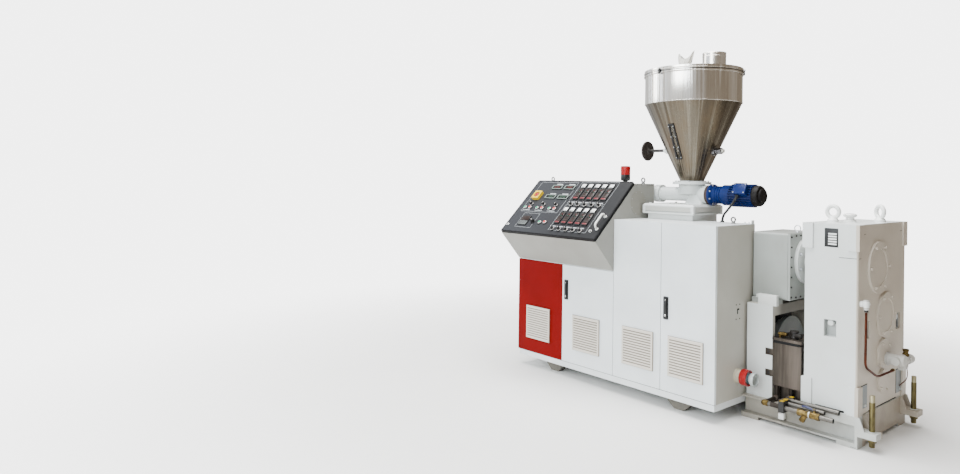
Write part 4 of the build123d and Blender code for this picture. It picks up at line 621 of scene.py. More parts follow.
for name, finish, slot, shape, rise_v, rise in (
    ("controller_faces", brown_face.material, "black_plastic", plate(43, 105, 1.0, 0.4), 58, 8),
    ("controller_bands", plastic("red_band", swatch(104, 12, 24), shine=0.4), "red_plastic",
     plate(40, 11, 0.4, 0.1), 14, 9.0),
    ("controller_windows", black_glass.material, "display_plastic", plate(36, 31, 0.3, 0.1), 84, 9.0),
):
    lid_piece(name, finish, [(shape, *(on_lid(u, foot + rise_v, rise) for u, foot in controller_spots))])
key_places = [on_lid(u - 14 + step * 9.4, foot + 37, 9.0) for u, foot in controller_spots for step in range(4)]
key_brown = plastic("key_brown", swatch(58, 44, 40), shine=0.5)
lid_piece("controller_keys", key_brown, [(plate(6.4, 5.0, 0.8, 0.3), *key_places)])
dial_places = [on_lid(u, foot + 143, 8) for u, foot in controller_spots]
lid_piece("meter_dials", meter_white, [(plate(36, 36, 1.2, 0.5), *dial_places)])
lid_piece("meter_needles", plastic("ink", swatch(24, 24, 26), shine=0.5), marks)


# Process displays
# Black bodies with grey-green frames round dark windows, and lit figures behind them.
def glow(name, colour, strength):
    """A lit figure behind its window."""
    finish = Finish(name, Base_Color=colour, Roughness=0.4, Emission_Color=colour, Emission_Strength=strength)
    return finish.material


dress(black_plastic, "panel_displays")
frames, display_windows = [], []
for column in range(2):
    for row in range(2):
        u, v = 269 + column * 130, 389.5 + row * 106
        frames.append((plate(108, 7, 1.6, 0.5), on_lid(u, v - 18, 6), on_lid(u, v + 18, 6)))
        frames.append((plate(9, 43, 1.6, 0.5), on_lid(u - 49.5, v, 6), on_lid(u + 49.5, v, 6)))
        display_windows.append((plate(90, 29, 0.5), on_lid(u, v, 6)))
        lit = red_figures if row else green_figures
        lit += figures(("1250", "0318", "0975", "0462")[2 * row + column], u, v, 6.5, 17)
grey_green = plastic("grey_green", swatch(100, 112, 106), shine=0.5)
lid_piece("display_frames", grey_green, frames)
lid_piece("display_windows", black_glass.material, display_windows)
lid_piece("red_figures", glow("red_light", swatch(104, 28, 22), 0.06), red_figures)
lid_piece("green_figures", glow("green_light", swatch(44, 84, 62), 0.04), green_figures)


# Buttons, lamps and selector knobs
# Moulded caps in black collars with white rings, green for start and red for stop, and black
# selector knobs with a white pointer.
white_ring = plastic("white_ring", swatch(232, 226, 222), shine=0.35)
collar = [(0, 0), (0.0200, 0), (0.0200, 0.0045), (0.0188, 0.0055), (0, 0.0055)]
cap = [(0, 0), (0.0098, 0), (0.0098, 0.0052), (0.0086, 0.0064), (0, 0.0072)]
ring = [(0.0099, 0), (0.0134, 0), (0.0132, 0.002), (0.0104, 0.0026), (0.0099, 0.0018)]
knob_ring = [(0.0126, 0), (0.0147, 0), (0.0146, 0.0008), (0.0126, 0.0008)]
knob = [(0, 0), (0.0125, 0), (0.0125, 0.004), (0.0105, 0.006), (0.0100, 0.016), (0.0092, 0.0175), (0, 0.0175)]
green_spots = [(352, 117), *((u, 262) for u in switch_columns)]
red_spots = [(404, 121), *((u + 53, 263) for u in switch_columns)]
knob_spots = [(278, 118, 0.5), *((u + 44, 300, -0.6) for u in switch_columns)]
knob_spots += [(u, foot - 53, 0.7 - 0.2 * (n % 5 % 3)) for n, (u, foot) in enumerate(controller_spots)]
knobs = []
for u, v, turn in knob_spots:
    knobs.append((turned(knob), on_lid(u, v, 5.5)))
    knobs.append((block(0.0062, 0.0205, 0.007, 0.0015), on_lid(u, v, 21.5, turn)))
pointer_places = [on_lid(u, v, 28.5, turn) @ Matrix.Translation((0, 0.004, 0)) for u, v, turn in knob_spots]
collar_places = [on_lid(*spot[:2]) for spot in green_spots + red_spots + knob_spots]
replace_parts(lid_piece("selector_knobs", black_plastic, knobs), "panel_buttons")
lid_piece("button_collars", black_plastic, [(turned(collar), *collar_places)])
lid_piece("button_rings", white_ring, [
    (turned(ring), *(on_lid(u, v, 5.4) for u, v in green_spots + red_spots)),
    (turned(knob_ring), *(on_lid(u, v, 5.6) for u, v, turn in knob_spots)),
])
for name, finish, slot, spots in (
    ("green_buttons", plastic("green_cap", swatch(40, 150, 110), 0.28, 0.4), "white_plastic", green_spots),
    ("red_buttons", plastic("red_cap", swatch(206, 62, 58), 0.28, 0.4), "red_plastic", red_spots),
):
    lid_piece(name, finish, [(turned(cap), *(on_lid(u, v, 5.5) for u, v in spots))])
lid_piece("knob_pointers", white_ring, [(block(0.0022, 0.0125, 0.0006), *pointer_places)])


# Speed controller
# A dark moulded block with two windows and a key field.
dress(black_plastic, "speed_controller")
lid_piece("speed_face", brown_face.material, [(plate(80, 40, 1.2, 0.4), on_lid(182, 145, 6))])
key_places = [on_lid(150 + step * 16, 86 + row * 13, 6) for step in range(5) for row in range(3)]
key_grey = plastic("key_grey", swatch(112, 118, 116))
lid_piece("speed_keys", key_grey, [(plate(12, 8, 1.2, 0.5), *key_places)])


# Emergency stop
# A yellow guard box with a red mushroom head inside it, screwed to the lid.
yellow_plastic = plastic("yellow_plastic", swatch(204, 170, 0), shine=0.62, edge=0.003)
red_plastic = plastic("red_plastic", swatch(150, 2, 8), shine=0.3, coat=0.2)
dress(yellow_plastic, "emergency_stop")
stop_u, stop_v = 128, 391
head = [
    (0, 0), (0.009, 0), (0.009, 0.006), (0.0190, 0.010), (0.0195, 0.014), (0.0165, 0.0185), (0.009, 0.021),
    (0, 0.0216),
]
lid_piece("stop_head", red_plastic, [(turned(head, 40), on_lid(stop_u, stop_v, 6))])
screw_places = [on_lid(stop_u + a, stop_v + b, 25) for a in (-29, 29) for b in (-33, 33)]
lid_piece("guard_screws", galvanised, [(disc(0.0028, 0.0012, 0.0005, 12), *screw_places)])


# Grip of the lid
# A white enamelled bow with a turned foot at each end.
white_plastic = plastic("white_plastic", swatch(232, 233, 230), shine=0.3, coat=0.3)
dress(white_plastic, "lid_handle")
foot = [(0, 0), (0.012, 0), (0.012, 0.0025), (0.009, 0.005), (0.0072, 0.009)]
lid_piece("grip_feet", white_plastic, [(turned(foot, 24), on_lid(924, 98), on_lid(924, 219))])


# Roof eyes
# Forged steel eye bolts with a round bow on a turned collar, dulled to a dark grey.
def tube(points, radius, steps=12):
    """A round bar or pipe along a row of points."""
    shape = bmesh.new()
    points = [Vector(point) for point in points]
    rings = []
    side = None
    for number, point in enumerate(points):
        ahead = points[min(number + 1, len(points) - 1)] - points[max(number - 1, 0)]
        ahead.normalize()
        side = ahead.orthogonal() if side is None else side - ahead * side.dot(ahead)
        side.normalize()
        other = ahead.cross(side)
        angles = [2 * pi * step / steps for step in range(steps)]
        rings.append([shape.verts.new(point + radius * (cos(a) * side + sin(a) * other)) for a in angles])
    for low, high in zip(rings, rings[1:]):
        for step in range(steps):
            shape.faces.new((low[step], low[step - 1], high[step - 1], high[step]))
    shape.faces.new(rings[0])
    shape.faces.new(reversed(rings[-1]))
    bmesh.ops.recalc_face_normals(shape, faces=shape.faces[:])
    return shape


def eye(bow, wire):
    """An eye bolt that stands on its origin, its bow in the plane of its width."""
    angles = [2 * pi * step / 32 - pi / 2 for step in range(33)]
    points = [(bow * cos(a), 0, 2.2 * wire + bow + bow * sin(a)) for a in angles]
    seat = [(0, 0), (2.6 * wire, 0), (2.6 * wire, wire), (1.3 * wire, 2.6 * wire), (0, 2.6 * wire)]
    return merge([(tube(points, wire, 12),), (turned(seat, 24),)])


desk_roof, eye_y = 1.4485, -0.0495
eye_places = [at((x, eye_y, z)) for x, z in ((-1.164, desk_roof), (-0.249, desk_roof), (0.465, roof_z))]
eye_zinc = enamel("eye_zinc", swatch(92, 92, 90), swatch(70, 70, 68), shine=0.4, coat=0.0)
roof_eyes = make("roof_eyes", eye_zinc, [(eye(0.0142, 0.0052), *eye_places)])
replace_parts(roof_eyes, "lifting_eyes")


# Beacon
# A ribbed red lens on a dark base with a narrow stem, lit a little from inside.
beacon_low, beacon_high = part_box("beacon")
beacon_place = at(((beacon_low.x + beacon_high.x) / 2, (beacon_low.y + beacon_high.y) / 2, beacon_low.z))
lens_finish = Finish("beacon_lens", Base_Color=swatch(136, 0, 5), Roughness=0.3, Specular_IOR_Level=0.25)
lens_finish.feed(Emission_Color=swatch(190, 2, 8), Emission_Strength=0.10)
ribs = lens_finish.node("ShaderNodeMath", {"operation": "SINE"}, {0: lens_finish.axis(2) * 900})
lens_finish.relief(ribs, 0.0006, 0.001)
lens = [(0, 0.064), (0.0345, 0.064), (0.0350, 0.120), (0.0335, 0.126), (0.020, 0.128), (0, 0.128)]
beacon_lens = make("beacon_lens", lens_finish.material, [(turned(lens, 40), beacon_place)])
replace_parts(beacon_lens, "beacon")
base = [
    (0, 0), (0.026, 0), (0.026, 0.004), (0.015, 0.008), (0.015, 0.016), (0.032, 0.022), (0.0345, 0.026),
    (0.0345, 0.064), (0, 0.064),
]
make("beacon_base", black_plastic, [(turned(base, 40), beacon_place)])


# Power inlet
# A beige flange on the cabinet's side carries a red plastic socket collar, and a pale grey plug with
# a dark rubber ring is pushed into it.
inlet_y, inlet_z = -0.1445, 0.258
inlet_place = at((side_x, inlet_y, inlet_z), out_right)
inlet_beige = plastic("inlet_beige", swatch(176, 168, 148))
plug_grey = plastic("plug_grey", swatch(168, 174, 172), shine=0.25, coat=0.4)
flange = [(0, 0), (0.046, 0), (0.046, 0.006), (0.041, 0.009), (0.041, 0.037), (0, 0.037)]
shroud = [
    (0.030, 0.036), (0.0475, 0.036), (0.0495, 0.040), (0.0495, 0.048), (0.0475, 0.050), (0.0475, 0.064),
    (0.0510, 0.067), (0.0510, 0.079), (0.0485, 0.081), (0.0440, 0.081), (0.0425, 0.072), (0.030, 0.071),
]
plug = [
    (0, 0.068), (0.0290, 0.068), (0.0310, 0.076), (0.0300, 0.090), (0.0420, 0.104), (0.0430, 0.118),
    (0.0400, 0.124), (0.0340, 0.124), (0.0300, 0.108), (0, 0.104),
]
plug_ring = [(0.0285, 0.080), (0.0335, 0.081), (0.0335, 0.089), (0.0285, 0.090)]
make("inlet_flange", inlet_beige, [(turned(flange, 48), inlet_place)])
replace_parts(make("inlet_shroud", red_plastic, [
    (turned(shroud, 56), inlet_place),
    (block(0.020, 0.022, 0.006, 0.002), at((side_x + 0.058, inlet_y, inlet_z + 0.0455))),
]), "power_inlet")
make("inlet_plug", plug_grey, [(turned(plug, 48), inlet_place)])
ring_blue = rubber("ring_blue", swatch(34, 58, 66), 0.6)
make("plug_ring", ring_blue, [(turned(plug_ring, 48), inlet_place)])


# Feed pedestal and its frame
# A welded box of light grey enamelled plate under a frame of channel steel, held by cap screws from
# above. Darker strips on the frame's webs are painted shade.
def rounded(corners, radius, steps=6):
    """Points along a line whose corners are rounded."""
    corners = [Vector(corner) for corner in corners]
    points = [corners[0]]
    for before, corner, after in zip(corners, corners[1:], corners[2:]):
        start = corner + (before - corner).normalized() * radius
        end = corner + (after - corner).normalized() * radius
        for step in range(steps + 1):
            share = step / steps
            points.append(start.lerp(corner, share).lerp(corner.lerp(end, share), share))
    points.append(corners[-1])
    return points


machine_grey = enamel(
    "machine_grey", swatch(207, 210, 208), swatch(199, 201, 197), shine=0.4, dirt=0.12, wear=0.12
)
channel_shade_tone = enamel("channel_shade_tone", swatch(178, 178, 172), swatch(168, 168, 161), coat=0.0)
dress(machine_grey, "feed_pedestal", "pedestal_frame")
frame_low, frame_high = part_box("pedestal_frame")
frame_middle = (frame_low + frame_high) / 2
frame_size = frame_high - frame_low
web_z, web_height, web_rise = 1.276, 0.032, 0.0006
# Darker strips on the frame's front and right faces: painted shade in the channel's recessed web.
make("channel_web_shade", channel_shade_tone, [
    (block(frame_size.x - 0.05, web_height, web_rise), at((frame_middle.x, frame_low.y, web_z), out_front)),
    (block(frame_size.y - 0.05, web_height, web_rise), at((frame_high.x, frame_middle.y, web_z), out_right)),
])
screw_x = [frame_low.x + share * frame_size.x for share in (0.12, 0.5, 0.88)]
places = [at((x, y, frame_high.z)) for x in screw_x for y in (frame_low.y + 0.024, frame_high.y - 0.024)]
make("frame_screws", machine_grey, [(disc(0.008, 0.007, 0.0012, 20), *places)])
pedestal_low, pedestal_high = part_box("feed_pedestal")
weld_line = rounded([
    (pedestal_low.x, 0.05, roof_z), (pedestal_low.x, pedestal_low.y, roof_z),
    (pedestal_high.x, pedestal_low.y, roof_z), (pedestal_high.x, 0.05, roof_z),
], 0.006)
make("pedestal_weld", machine_grey, [(tube(weld_line, 0.0028, 8),)])


# Feeder housing
# One grey-white casting: the screw tube with its end ring, the neck under the hopper and the outlet.
# Studs hold the end plate, and bolts the two flanges.
cast_white = enamel(
    "cast_white", swatch(207, 211, 210), swatch(198, 201, 198), shine=0.36, dirt=0.12, wear=0.15,
    grain=0.0006, edge=0.003,
)
dark_steel = enamel("dark_steel", swatch(30, 27, 25), shine=0.45, coat=0.0)
dress(cast_white, "feeder_housing")
out_left, upright = (-1, 0, 0), (0, 0, 1)
hopper_x, feeder_y, feeder_z = 0.038, 0.1305, 1.378
tube_end = (-0.259, feeder_y, feeder_z)
neck_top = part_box("hopper_shell")[0].z
make("feeder_end_plate", dark_steel, [
    (disc(0.051, 0.006, 0.001, 48), at(tube_end, out_left)),
    (disc(0.016, 0.014, 0.002, 32), at(tube_end, out_left)),
])
make("feeder_bolts", galvanised, [
    (bolt(0.009), *ring_of(tube_end, 0.0575, 8, out_left, pi / 8)),
    (bolt(0.011), *ring_of((hopper_x, feeder_y, neck_top), 0.112, 8, upright, pi / 8)),
])
places = [at((x, feeder_y - 0.0495, feeder_z - 0.006), out_front) for x in (-0.13, -0.10)]
make("feeder_plugs", cast_white, [(disc(0.006, 0.004, 0.001, 6), *places)])
collar = [(0.079, -0.001), (0.100, -0.001), (0.100, 0.003), (0.096, 0.006), (0.0850, 0.007), (0.0822, 0.007)]
collar_place = at((hopper_x, feeder_y, neck_top + 0.0003))
make("hopper_collar", cast_white, [(turned(collar, 64), collar_place)])


# Gasket, gear reducer and motor of the feeder
# A brown fibre gasket, a turned blue flange held by studs, and a finned motor with a terminal box,
# all in blue enamel.
gasket_brown = rubber("gasket_brown", swatch(54, 37, 28))
motor_blue = enamel(
    "motor_blue", swatch(1, 28, 84), swatch(1, 20, 64), shine=0.4, wear=0.15, edge=0.002, coat=0.03, gloss=0.2
)
dress(gasket_brown, "feeder_gasket")
dress(motor_blue, "gear_reducer", "feeder_motor")
reducer_low, reducer_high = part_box("gear_reducer")
make("reducer_bolts", galvanised, [
    (bolt(0.011), *ring_of((reducer_low.x + 0.0165, feeder_y, feeder_z), 0.066, 8, out_right, pi / 8)),
    (bolt(0.009), *ring_of((reducer_high.x, feeder_y, feeder_z), 0.064, 6, out_left)),
])
rib = turned([(0.057, 0), (0.062, 0.001), (0.062, 0.005), (0.057, 0.006)], 48)
rib_places = [at((x, feeder_y, feeder_z), out_right) for x in (0.245, 0.262, 0.279)]
make("reducer_ribs", motor_blue, [(rib, *rib_places)])
box_out = Vector((0, -2, 1)).normalized()
lid_place = Vector((0.458, feeder_y, feeder_z)) + box_out * 0.106
lid_top = at(lid_place + box_out * 0.008, box_out)
make("terminal_lid", motor_blue, [(block(0.090, 0.078, 0.008, 0.0025), at(lid_place, box_out))])
places = [lid_top @ Matrix.Translation((a, b, 0)) for a in (-0.036, 0.036) for b in (-0.030, 0.030)]
make("terminal_screws", galvanised, [(disc(0.0035, 0.002, 0.0008, 16), *places)])
gland_place = at(cable_exit, (Vector(cable_bend) - Vector(cable_exit)).normalized())
gland = [(0, -0.002), (0.013, -0.002), (0.013, 0.006), (0.0105, 0.008), (0.0105, 0.017), (0.0075, 0.021)]
make("cable_gland", black_plastic, [(turned(gland, 6), gland_place)])
grommet = [(0.006, 0), (0.016, 0), (0.014, 0.006), (0.0085, 0.010), (0.006, 0.010)]
make("cable_grommet", black_rubber, [(turned(grommet, 32), at(grommet_place))])


# Fan cowl
# Pressed steel in dark brown enamel, with a stepped cap and raised rings round its air slots.
cowl_brown = enamel("cowl_brown", swatch(13, 9, 8), swatch(9, 7, 6), shine=0.5, coat=0.0, gloss=0.15)
cowl_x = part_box("motor_fan_cowl")[0].x
body = [
    (0.060, 0), (0.069, 0), (0.069, 0.030), (0.064, 0.038), (0.052, 0.041), (0.049, 0.0415), (0.049, 0.051),
    (0.046, 0.0545), (0, 0.0545),
]
cowl = [(turned(body, 64), at((cowl_x, feeder_y, feeder_z), out_right))]
for radius in (0.018, 0.026, 0.034):
    profile = [(radius, 0), (radius + 0.0035, 0), (radius + 0.0035, 0.001), (radius, 0.001)]
    cowl.append((turned(profile, 48), at((cowl_x + 0.0540, feeder_y, feeder_z), out_right)))
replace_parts(make("fan_cowl", cowl_brown, cowl), "motor_fan_cowl")


# Hopper
# Rolled and welded stainless sheet: a bright cylinder over a darker brownish cone, with upright
# streaks painted round the wall as painted reflections, and a dished lid in a double clamping band.
hopper_y = feeder_y
hopper_axis = at((hopper_x, hopper_y, 0))
foot_z, shoulder_z, rim_z = 1.473, 2.017, 2.244
cone_foot, cone_top = 0.082, 0.330


def rolled(name, bright, deep, stain, shine, wall):
    """Stainless sheet: streaks round the wall are painted reflections, with stains down its slope."""
    finish = Finish(name, Metallic=1.0)
    offset = finish.vector("SUBTRACT", finish.place(), (hopper_x, hopper_y, 0.0))
    around = finish.vector("NORMALIZE", finish.vector("MULTIPLY", offset, (1.0, 1.0, 0.0)))
    point = finish.vector("ADD", around, finish.vector("MULTIPLY", offset, (0.0, 0.0, 0.12)))

    def reflection_streaks(scale, detail, roughness=0.5):
        values = {"Vector": point, "Scale": scale, "Detail": detail, "Roughness": roughness}
        return finish.node("ShaderNodeTexNoise", values=values)

    wide, bands, fine = reflection_streaks(2.6, 3.0), reflection_streaks(7.0, 2.0), reflection_streaks(34.0, 6.0, 0.7)
    tone = finish.blend(bright, deep, wide.over(0.52, 0.09) * 0.6)
    tone = finish.blend(tone, deep, bands.over(0.54, 0.05) * 0.75)
    tone = finish.blend(tone, deep, fine.over(0.5, 0.2) * 0.4)
    smear = finish.mottle(4.5, 6, (1, 1, 0.45)).over(0.55, 0.16) * wall
    tone = finish.blend(tone, stain, smear)
    finish.feed(Base_Color=tone, Roughness=shine + 0.22 * (fine - 0.5) + 0.12 * smear)
    finish.relief(wide * 0.6 + bands * 0.35 + fine * 0.05, 0.012, 0.0015)
    return finish.material


def hopper_ring(*profile):
    """A ring turned round the hopper's axis, its heights counted from the floor."""
    return turned(profile, 128), hopper_axis


cylinder_steel = rolled(
    "cylinder_steel", swatch(254, 253, 252), swatch(196, 188, 176), swatch(212, 200, 184), 0.22, 0.2
)
cone_steel = rolled("cone_steel", swatch(136, 130, 118), swatch(74, 66, 55), swatch(110, 90, 66), 0.27, 0.5)
dress(cone_steel, "hopper_shell")
dress(cylinder_steel, "hopper_lid", "hopper_inlet")
skin_top = rim_z - 0.034
make("hopper_cylinder_skin", cylinder_steel, [hopper_ring(
    (0.3302, shoulder_z + 0.002), (0.3312, shoulder_z + 0.004), (0.3312, skin_top), (0.3302, skin_top)
)])
seam_angle = 0.9
seam = [
    (hopper_x + radius * cos(seam_angle), hopper_y + radius * sin(seam_angle), z)
    for radius, z in ((0.084, foot_z + 0.01), (cone_top, shoulder_z), (cone_top + 0.001, skin_top))
]
shoulder_bead = hopper_ring(
    (0.329, shoulder_z - 0.004), (0.3325, shoulder_z - 0.002), (0.3330, shoulder_z + 0.001),
    (0.329, shoulder_z + 0.004),
)
make("hopper_welds", cylinder_steel, [shoulder_bead, (tube(seam, 0.002, 8),)])
band_section = ((0.3355, -0.0045), (0.3395, -0.003), (0.3405, 0), (0.3395, 0.003), (0.3355, 0.0045))
make("rim_band", cylinder_steel, [
    hopper_ring(*((radius, z + rise) for radius, rise in band_section)) for z in (rim_z - 0.030, rim_z - 0.008)
])
# A black ring between the clamping bands: painted shade in the groove.
make("rim_groove_shade", black_paint, [hopper_ring(
    (0.3361, rim_z - 0.021), (0.3366, rim_z - 0.021), (0.3366, rim_z - 0.016), (0.3361, rim_z - 0.016)
)])
clamps = []
for step in range(3):
    angle = 2 * pi * step / 3 - 1.695
    spot = (hopper_x + 0.3405 * cos(angle), hopper_y + 0.3405 * sin(angle), rim_z - 0.024)
    clamp_place = at(spot, (cos(angle), sin(angle), 0))
    clamps.append((block(0.016, 0.034, 0.006, 0.0015), clamp_place))
    clamps.append((tube([(0, 0.004, 0.002), (0, 0.020, 0.010), (0, 0.024, -0.010)], 0.0022, 8), clamp_place))
make("rim_clamps", dark_steel, clamps)
stub_x = hopper_x + 0.166
bead = turned([(0.0780, 0), (0.0800, 0.002), (0.0800, 0.004), (0.0780, 0.006)], 64)
make("stub_bead", cylinder_steel, [
    (bead, *(at((stub_x, hopper_y, rim_z + rise)) for rise in (0.088, 0.108))),
    (turned([(0.0780, 0), (0.0850, 0.0008), (0.0780, 0.007)], 64), at((stub_x, hopper_y, rim_z + 0.006))),
])


# Sight glass
# A dark steel frame screwed to the cone round a long window: powder fills its lower part, and a black
# sheet behind the upper part is painted shade inside the empty hopper.
def wall_at(z):
    """The cone's radius at a height."""
    return cone_foot + (z - foot_z) / (shoulder_z - foot_z) * (cone_top - cone_foot)


lean = atan2(cone_top - cone_foot, shoulder_z - foot_z)
glass_low, glass_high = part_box("sight_glass")
glass_z = (glass_low.z + glass_high.z) / 2
glass_frame = at((hopper_x, hopper_y - wall_at(glass_z), glass_z), (0, -cos(lean), -sin(lean)))
half_length = 0.126


def on_glass(across, along, rise):
    """A place on the window, counted from its middle."""
    return glass_frame @ Matrix.Translation((across, along, rise))


frame_bars = []
for side in (-1, 1):
    frame_bars.append((block(0.012, 2 * half_length, 0.011, 0.002), on_glass(side * 0.018, 0, -0.004)))
    frame_bars.append((block(0.046, 0.014, 0.011, 0.002), on_glass(0, side * half_length, -0.004)))
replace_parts(make("sight_glass_frame", dark_steel, frame_bars), "sight_glass")
pane_glass = Finish("pane_glass", Base_Color=swatch(226, 230, 230), Roughness=0.03, Transmission_Weight=1.0)
pane_glass.feed(IOR=1.3, Specular_IOR_Level=0.25)
pane = block(0.026, 2 * half_length - 0.01, 0.004), on_glass(0, 0, 0)
make("sight_glass_pane", pane_glass.material, [pane])
powder = Finish("powder", Roughness=0.9)
powder.feed(Base_Color=powder.blend(swatch(186, 190, 192), swatch(158, 160, 164), powder.mottle(160, 4)))
powder.relief(powder.mottle(900, 3), 0.0006)
filling = block(0.026, half_length - 0.008, 0.0016), on_glass(0, -half_length / 2, -0.003)
make("powder_behind_glass", powder.material, [filling])
# A black sheet behind the window's upper part: painted shade inside the empty hopper.
empty_part_shade = block(0.026, half_length - 0.004, 0.0016), on_glass(0, half_length / 2, -0.003)
make("shade_behind_glass", black_paint, [empty_part_shade])
bolt_pitch = (2 * half_length - 0.020) / 3
bolt_rows = [-half_length + 0.010 + step * bolt_pitch for step in range(4)]
places = [on_glass(side * 0.0185, v, 0.007) for v in bolt_rows for side in (-1, 1)]
make("sight_glass_bolts", galvanised, [(bolt(0.0060), *places)])


# Plunger
# A dark rubber-faced disc on a steel rod, run through a white boss welded to the cone.
plunger_z = 1.694
plunger_reach = 0.391
disc_x = hopper_x - plunger_reach
dark_face = rubber("dark_face", swatch(42, 35, 32), 0.55)
face = [
    (0, 0), (0.070, 0), (0.074, 0.003), (0.074, 0.010), (0.071, 0.0135), (0.024, 0.0140), (0.013, 0.024),
    (0, 0.024),
]
face_place = at((disc_x, hopper_y, plunger_z), out_right)
plunger_disc = make("plunger_disc", dark_face, [(turned(face, 64), face_place)])
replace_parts(plunger_disc, "hopper_plunger")
rod = disc(0.0110, plunger_reach - wall_at(plunger_z) + 0.012, 0.0005, 24)
make("plunger_rod", dark_steel, [(rod, at((disc_x + 0.010, hopper_y, plunger_z), out_right))])
boss = [
    (0, -0.026), (0.022, -0.026), (0.022, 0.010), (0.0255, 0.012), (0.0255, 0.032), (0.021, 0.037),
    (0.015, 0.052), (0, 0.052),
]
boss_place = at((hopper_x - wall_at(plunger_z), hopper_y, plunger_z), out_left)
make("plunger_boss", white_plastic, [(turned(boss, 40), boss_place)])


# Level sensor
# A chrome-plated cylinder with turned grooves and a grey plastic head, screwed into the cone.
sensor_z = 1.680
sensor_x = hopper_x + wall_at(sensor_z)
sensor_chrome = Finish("sensor_chrome", Metallic=1.0, Base_Color=swatch(120, 118, 120))
sensor_chrome.feed(Roughness=0.18 + 0.1 * sensor_chrome.mottle(60, 4))
probe = [
    (0, -0.020), (0.030, -0.020), (0.030, 0.012), (0.022, 0.014), (0.022, 0.024), (0.018, 0.026),
    (0.018, 0.032), (0.022, 0.034), (0.022, 0.054), (0.019, 0.058), (0, 0.058),
]
probe_row = turned(probe, 40), at((sensor_x, hopper_y, sensor_z), out_right)
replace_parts(make("level_probe", sensor_chrome.material, [probe_row]), "level_sensor")
head_row = disc(0.0135, 0.017, 0.003, 32), at((sensor_x + 0.055, hopper_y, sensor_z), out_right)
sensor_grey = plastic("sensor_grey", swatch(196, 194, 184))
make("level_probe_head", sensor_grey, [head_row])


# Cloth bag
# White filter cloth gathered over the lid's second opening and tied: its top stands in two ears.
cloth = Finish("cloth", Roughness=0.85, Sheen_Weight=0.3)
values = {"Vector": cloth.place(), "Scale": 320.0, "Distortion": 1.5}
weave = cloth.node("ShaderNodeTexWave", {"wave_type": "BANDS"}, values)
cloth.feed(Base_Color=cloth.blend(swatch(226, 224, 216), swatch(204, 200, 190), cloth.mottle(18, 5)))
cloth.relief(weave * 0.3 + cloth.mottle(46, 5), 0.004)
rows, spokes = 34, 72
lid_z = rim_z + 0.016
bag_x = hopper_x - 0.067
bag_mesh = bmesh.new()


def bag_point(rise, angle):
    """A point of the cloth, drawn in at the tie, pleated, flattened and raised to an ear at each side."""
    tie = 0.055 / (1 + ((rise - 0.30) / 0.13) ** 2)
    flare = 0.054 - 0.020 * rise - 0.5 * tie * (1 - 0.2 * rise)
    pleat = 1 + 0.10 * sin(9 * angle + 3 * rise) * (1 - 0.5 * rise) + 0.05 * sin(17 * angle + 1.7)
    flat = 1 - 0.62 * max(0.0, rise - 0.25)
    spread = max(0.0, rise - 0.35) / 0.65
    ear = spread * (0.052 * cos(angle) ** 2 * (1.0 if cos(angle) > 0 else 0.82) - 0.006)
    x = flare * 1.05 * pleat * cos(angle) * (1 + 0.75 * spread) + 0.012 * spread * spread
    y = flare * 0.85 * pleat * flat * sin(angle)
    return bag_x + x, hopper_y + y, lid_z + rise * 0.095 + ear


grid = []
for row in range(rows + 1):
    grid.append([bag_mesh.verts.new(bag_point(row / rows, 2 * pi * spoke / spokes)) for spoke in range(spokes)])
for low_row, high_row in zip(grid, grid[1:]):
    for spoke in range(spokes):
        bag_mesh.faces.new((low_row[spoke - 1], low_row[spoke], high_row[spoke], high_row[spoke - 1]))
bmesh.ops.recalc_face_normals(bag_mesh, faces=bag_mesh.faces[:])
bag_area = sum(face.calc_area() for face in bag_mesh.faces)
bag_data = bpy.data.meshes.new("filter_bag")
bag_mesh.to_mesh(bag_data)
bag_mesh.free()
bag_data.shade_smooth()
filter_bag = link("filter_bag", bag_data, cloth.material)
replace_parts(filter_bag, "hopper_bag")
angles = [2 * pi * step / 40 for step in range(41)]
tie_points = [(bag_x + 0.0275 * cos(a), hopper_y + 0.0225 * sin(a), lid_z + 0.029) for a in angles]
make("bag_tie", white_plastic, [(tube(tie_points, 0.0022, 8),)])


# Barrel, its column and its cover
# Dark steel barrel blued by heat, a painted column under its front end, and a cover of brushed sheet
# held by a row of screws.
def brushed(name, colour, stretch, shine=0.26):
    """Stainless sheet brushed along its long side."""
    finish = Finish(name, Metallic=1.0)
    grain = finish.mottle(90, 6, stretch, 0.7)
    finish.feed(Base_Color=finish.blend(colour, darker(colour, 0.8), grain.over(0.5, 0.3)))
    finish.feed(Roughness=shine + 0.25 * (grain - 0.5))
    finish.relief(grain, 0.0003, 0.0012)
    return finish.material


barrel_steel = Finish("barrel_steel", Metallic=1.0)
blueing = barrel_steel.mottle(6, 4, (0.4, 1, 1)).over(0.5, 0.2)
barrel_steel.feed(Base_Color=barrel_steel.blend(swatch(112, 108, 106), swatch(86, 78, 92), blueing))
barrel_steel.feed(Roughness=0.34 + 0.2 * (barrel_steel.mottle(80, 4, (0.1, 1, 1)) - 0.5))
barrel_steel.relief(barrel_steel.mottle(260, 3, (0.2, 1, 1)), 0.0002, 0.001)
dress(barrel_steel.material, "barrel")
dress(brushed("cover_steel", swatch(192, 192, 190), (0.05, 1, 1)), "barrel_cover")
dress(machine_grey, "barrel_column")
cover_low, cover_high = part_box("barrel_cover")
screw_z = cover_low.z + 0.020
screw_pitch = (cover_high.x - cover_low.x - 0.1) / 9
places = []
for x in (cover_low.x + 0.05 + step * screw_pitch for step in range(10)):
    places += [at((x, cover_low.y, screw_z), out_front), at((x, cover_high.y, screw_z), out_back)]
make("cover_screws", galvanised, [(disc(0.005, 0.003, 0.001, 16), *places)])


# Distribution gearbox and its portal
# A welded case in grey enamel, darkened as painted shade, with a bolted end plate, a big ring with
# bright bolts, a thin lifting eye and bolted feet, on a portal of light grey paint, painted warm grey
# behind its front face and dark brown between its posts as painted shade.
screw_y, ring_z = 0.2105, 0.980
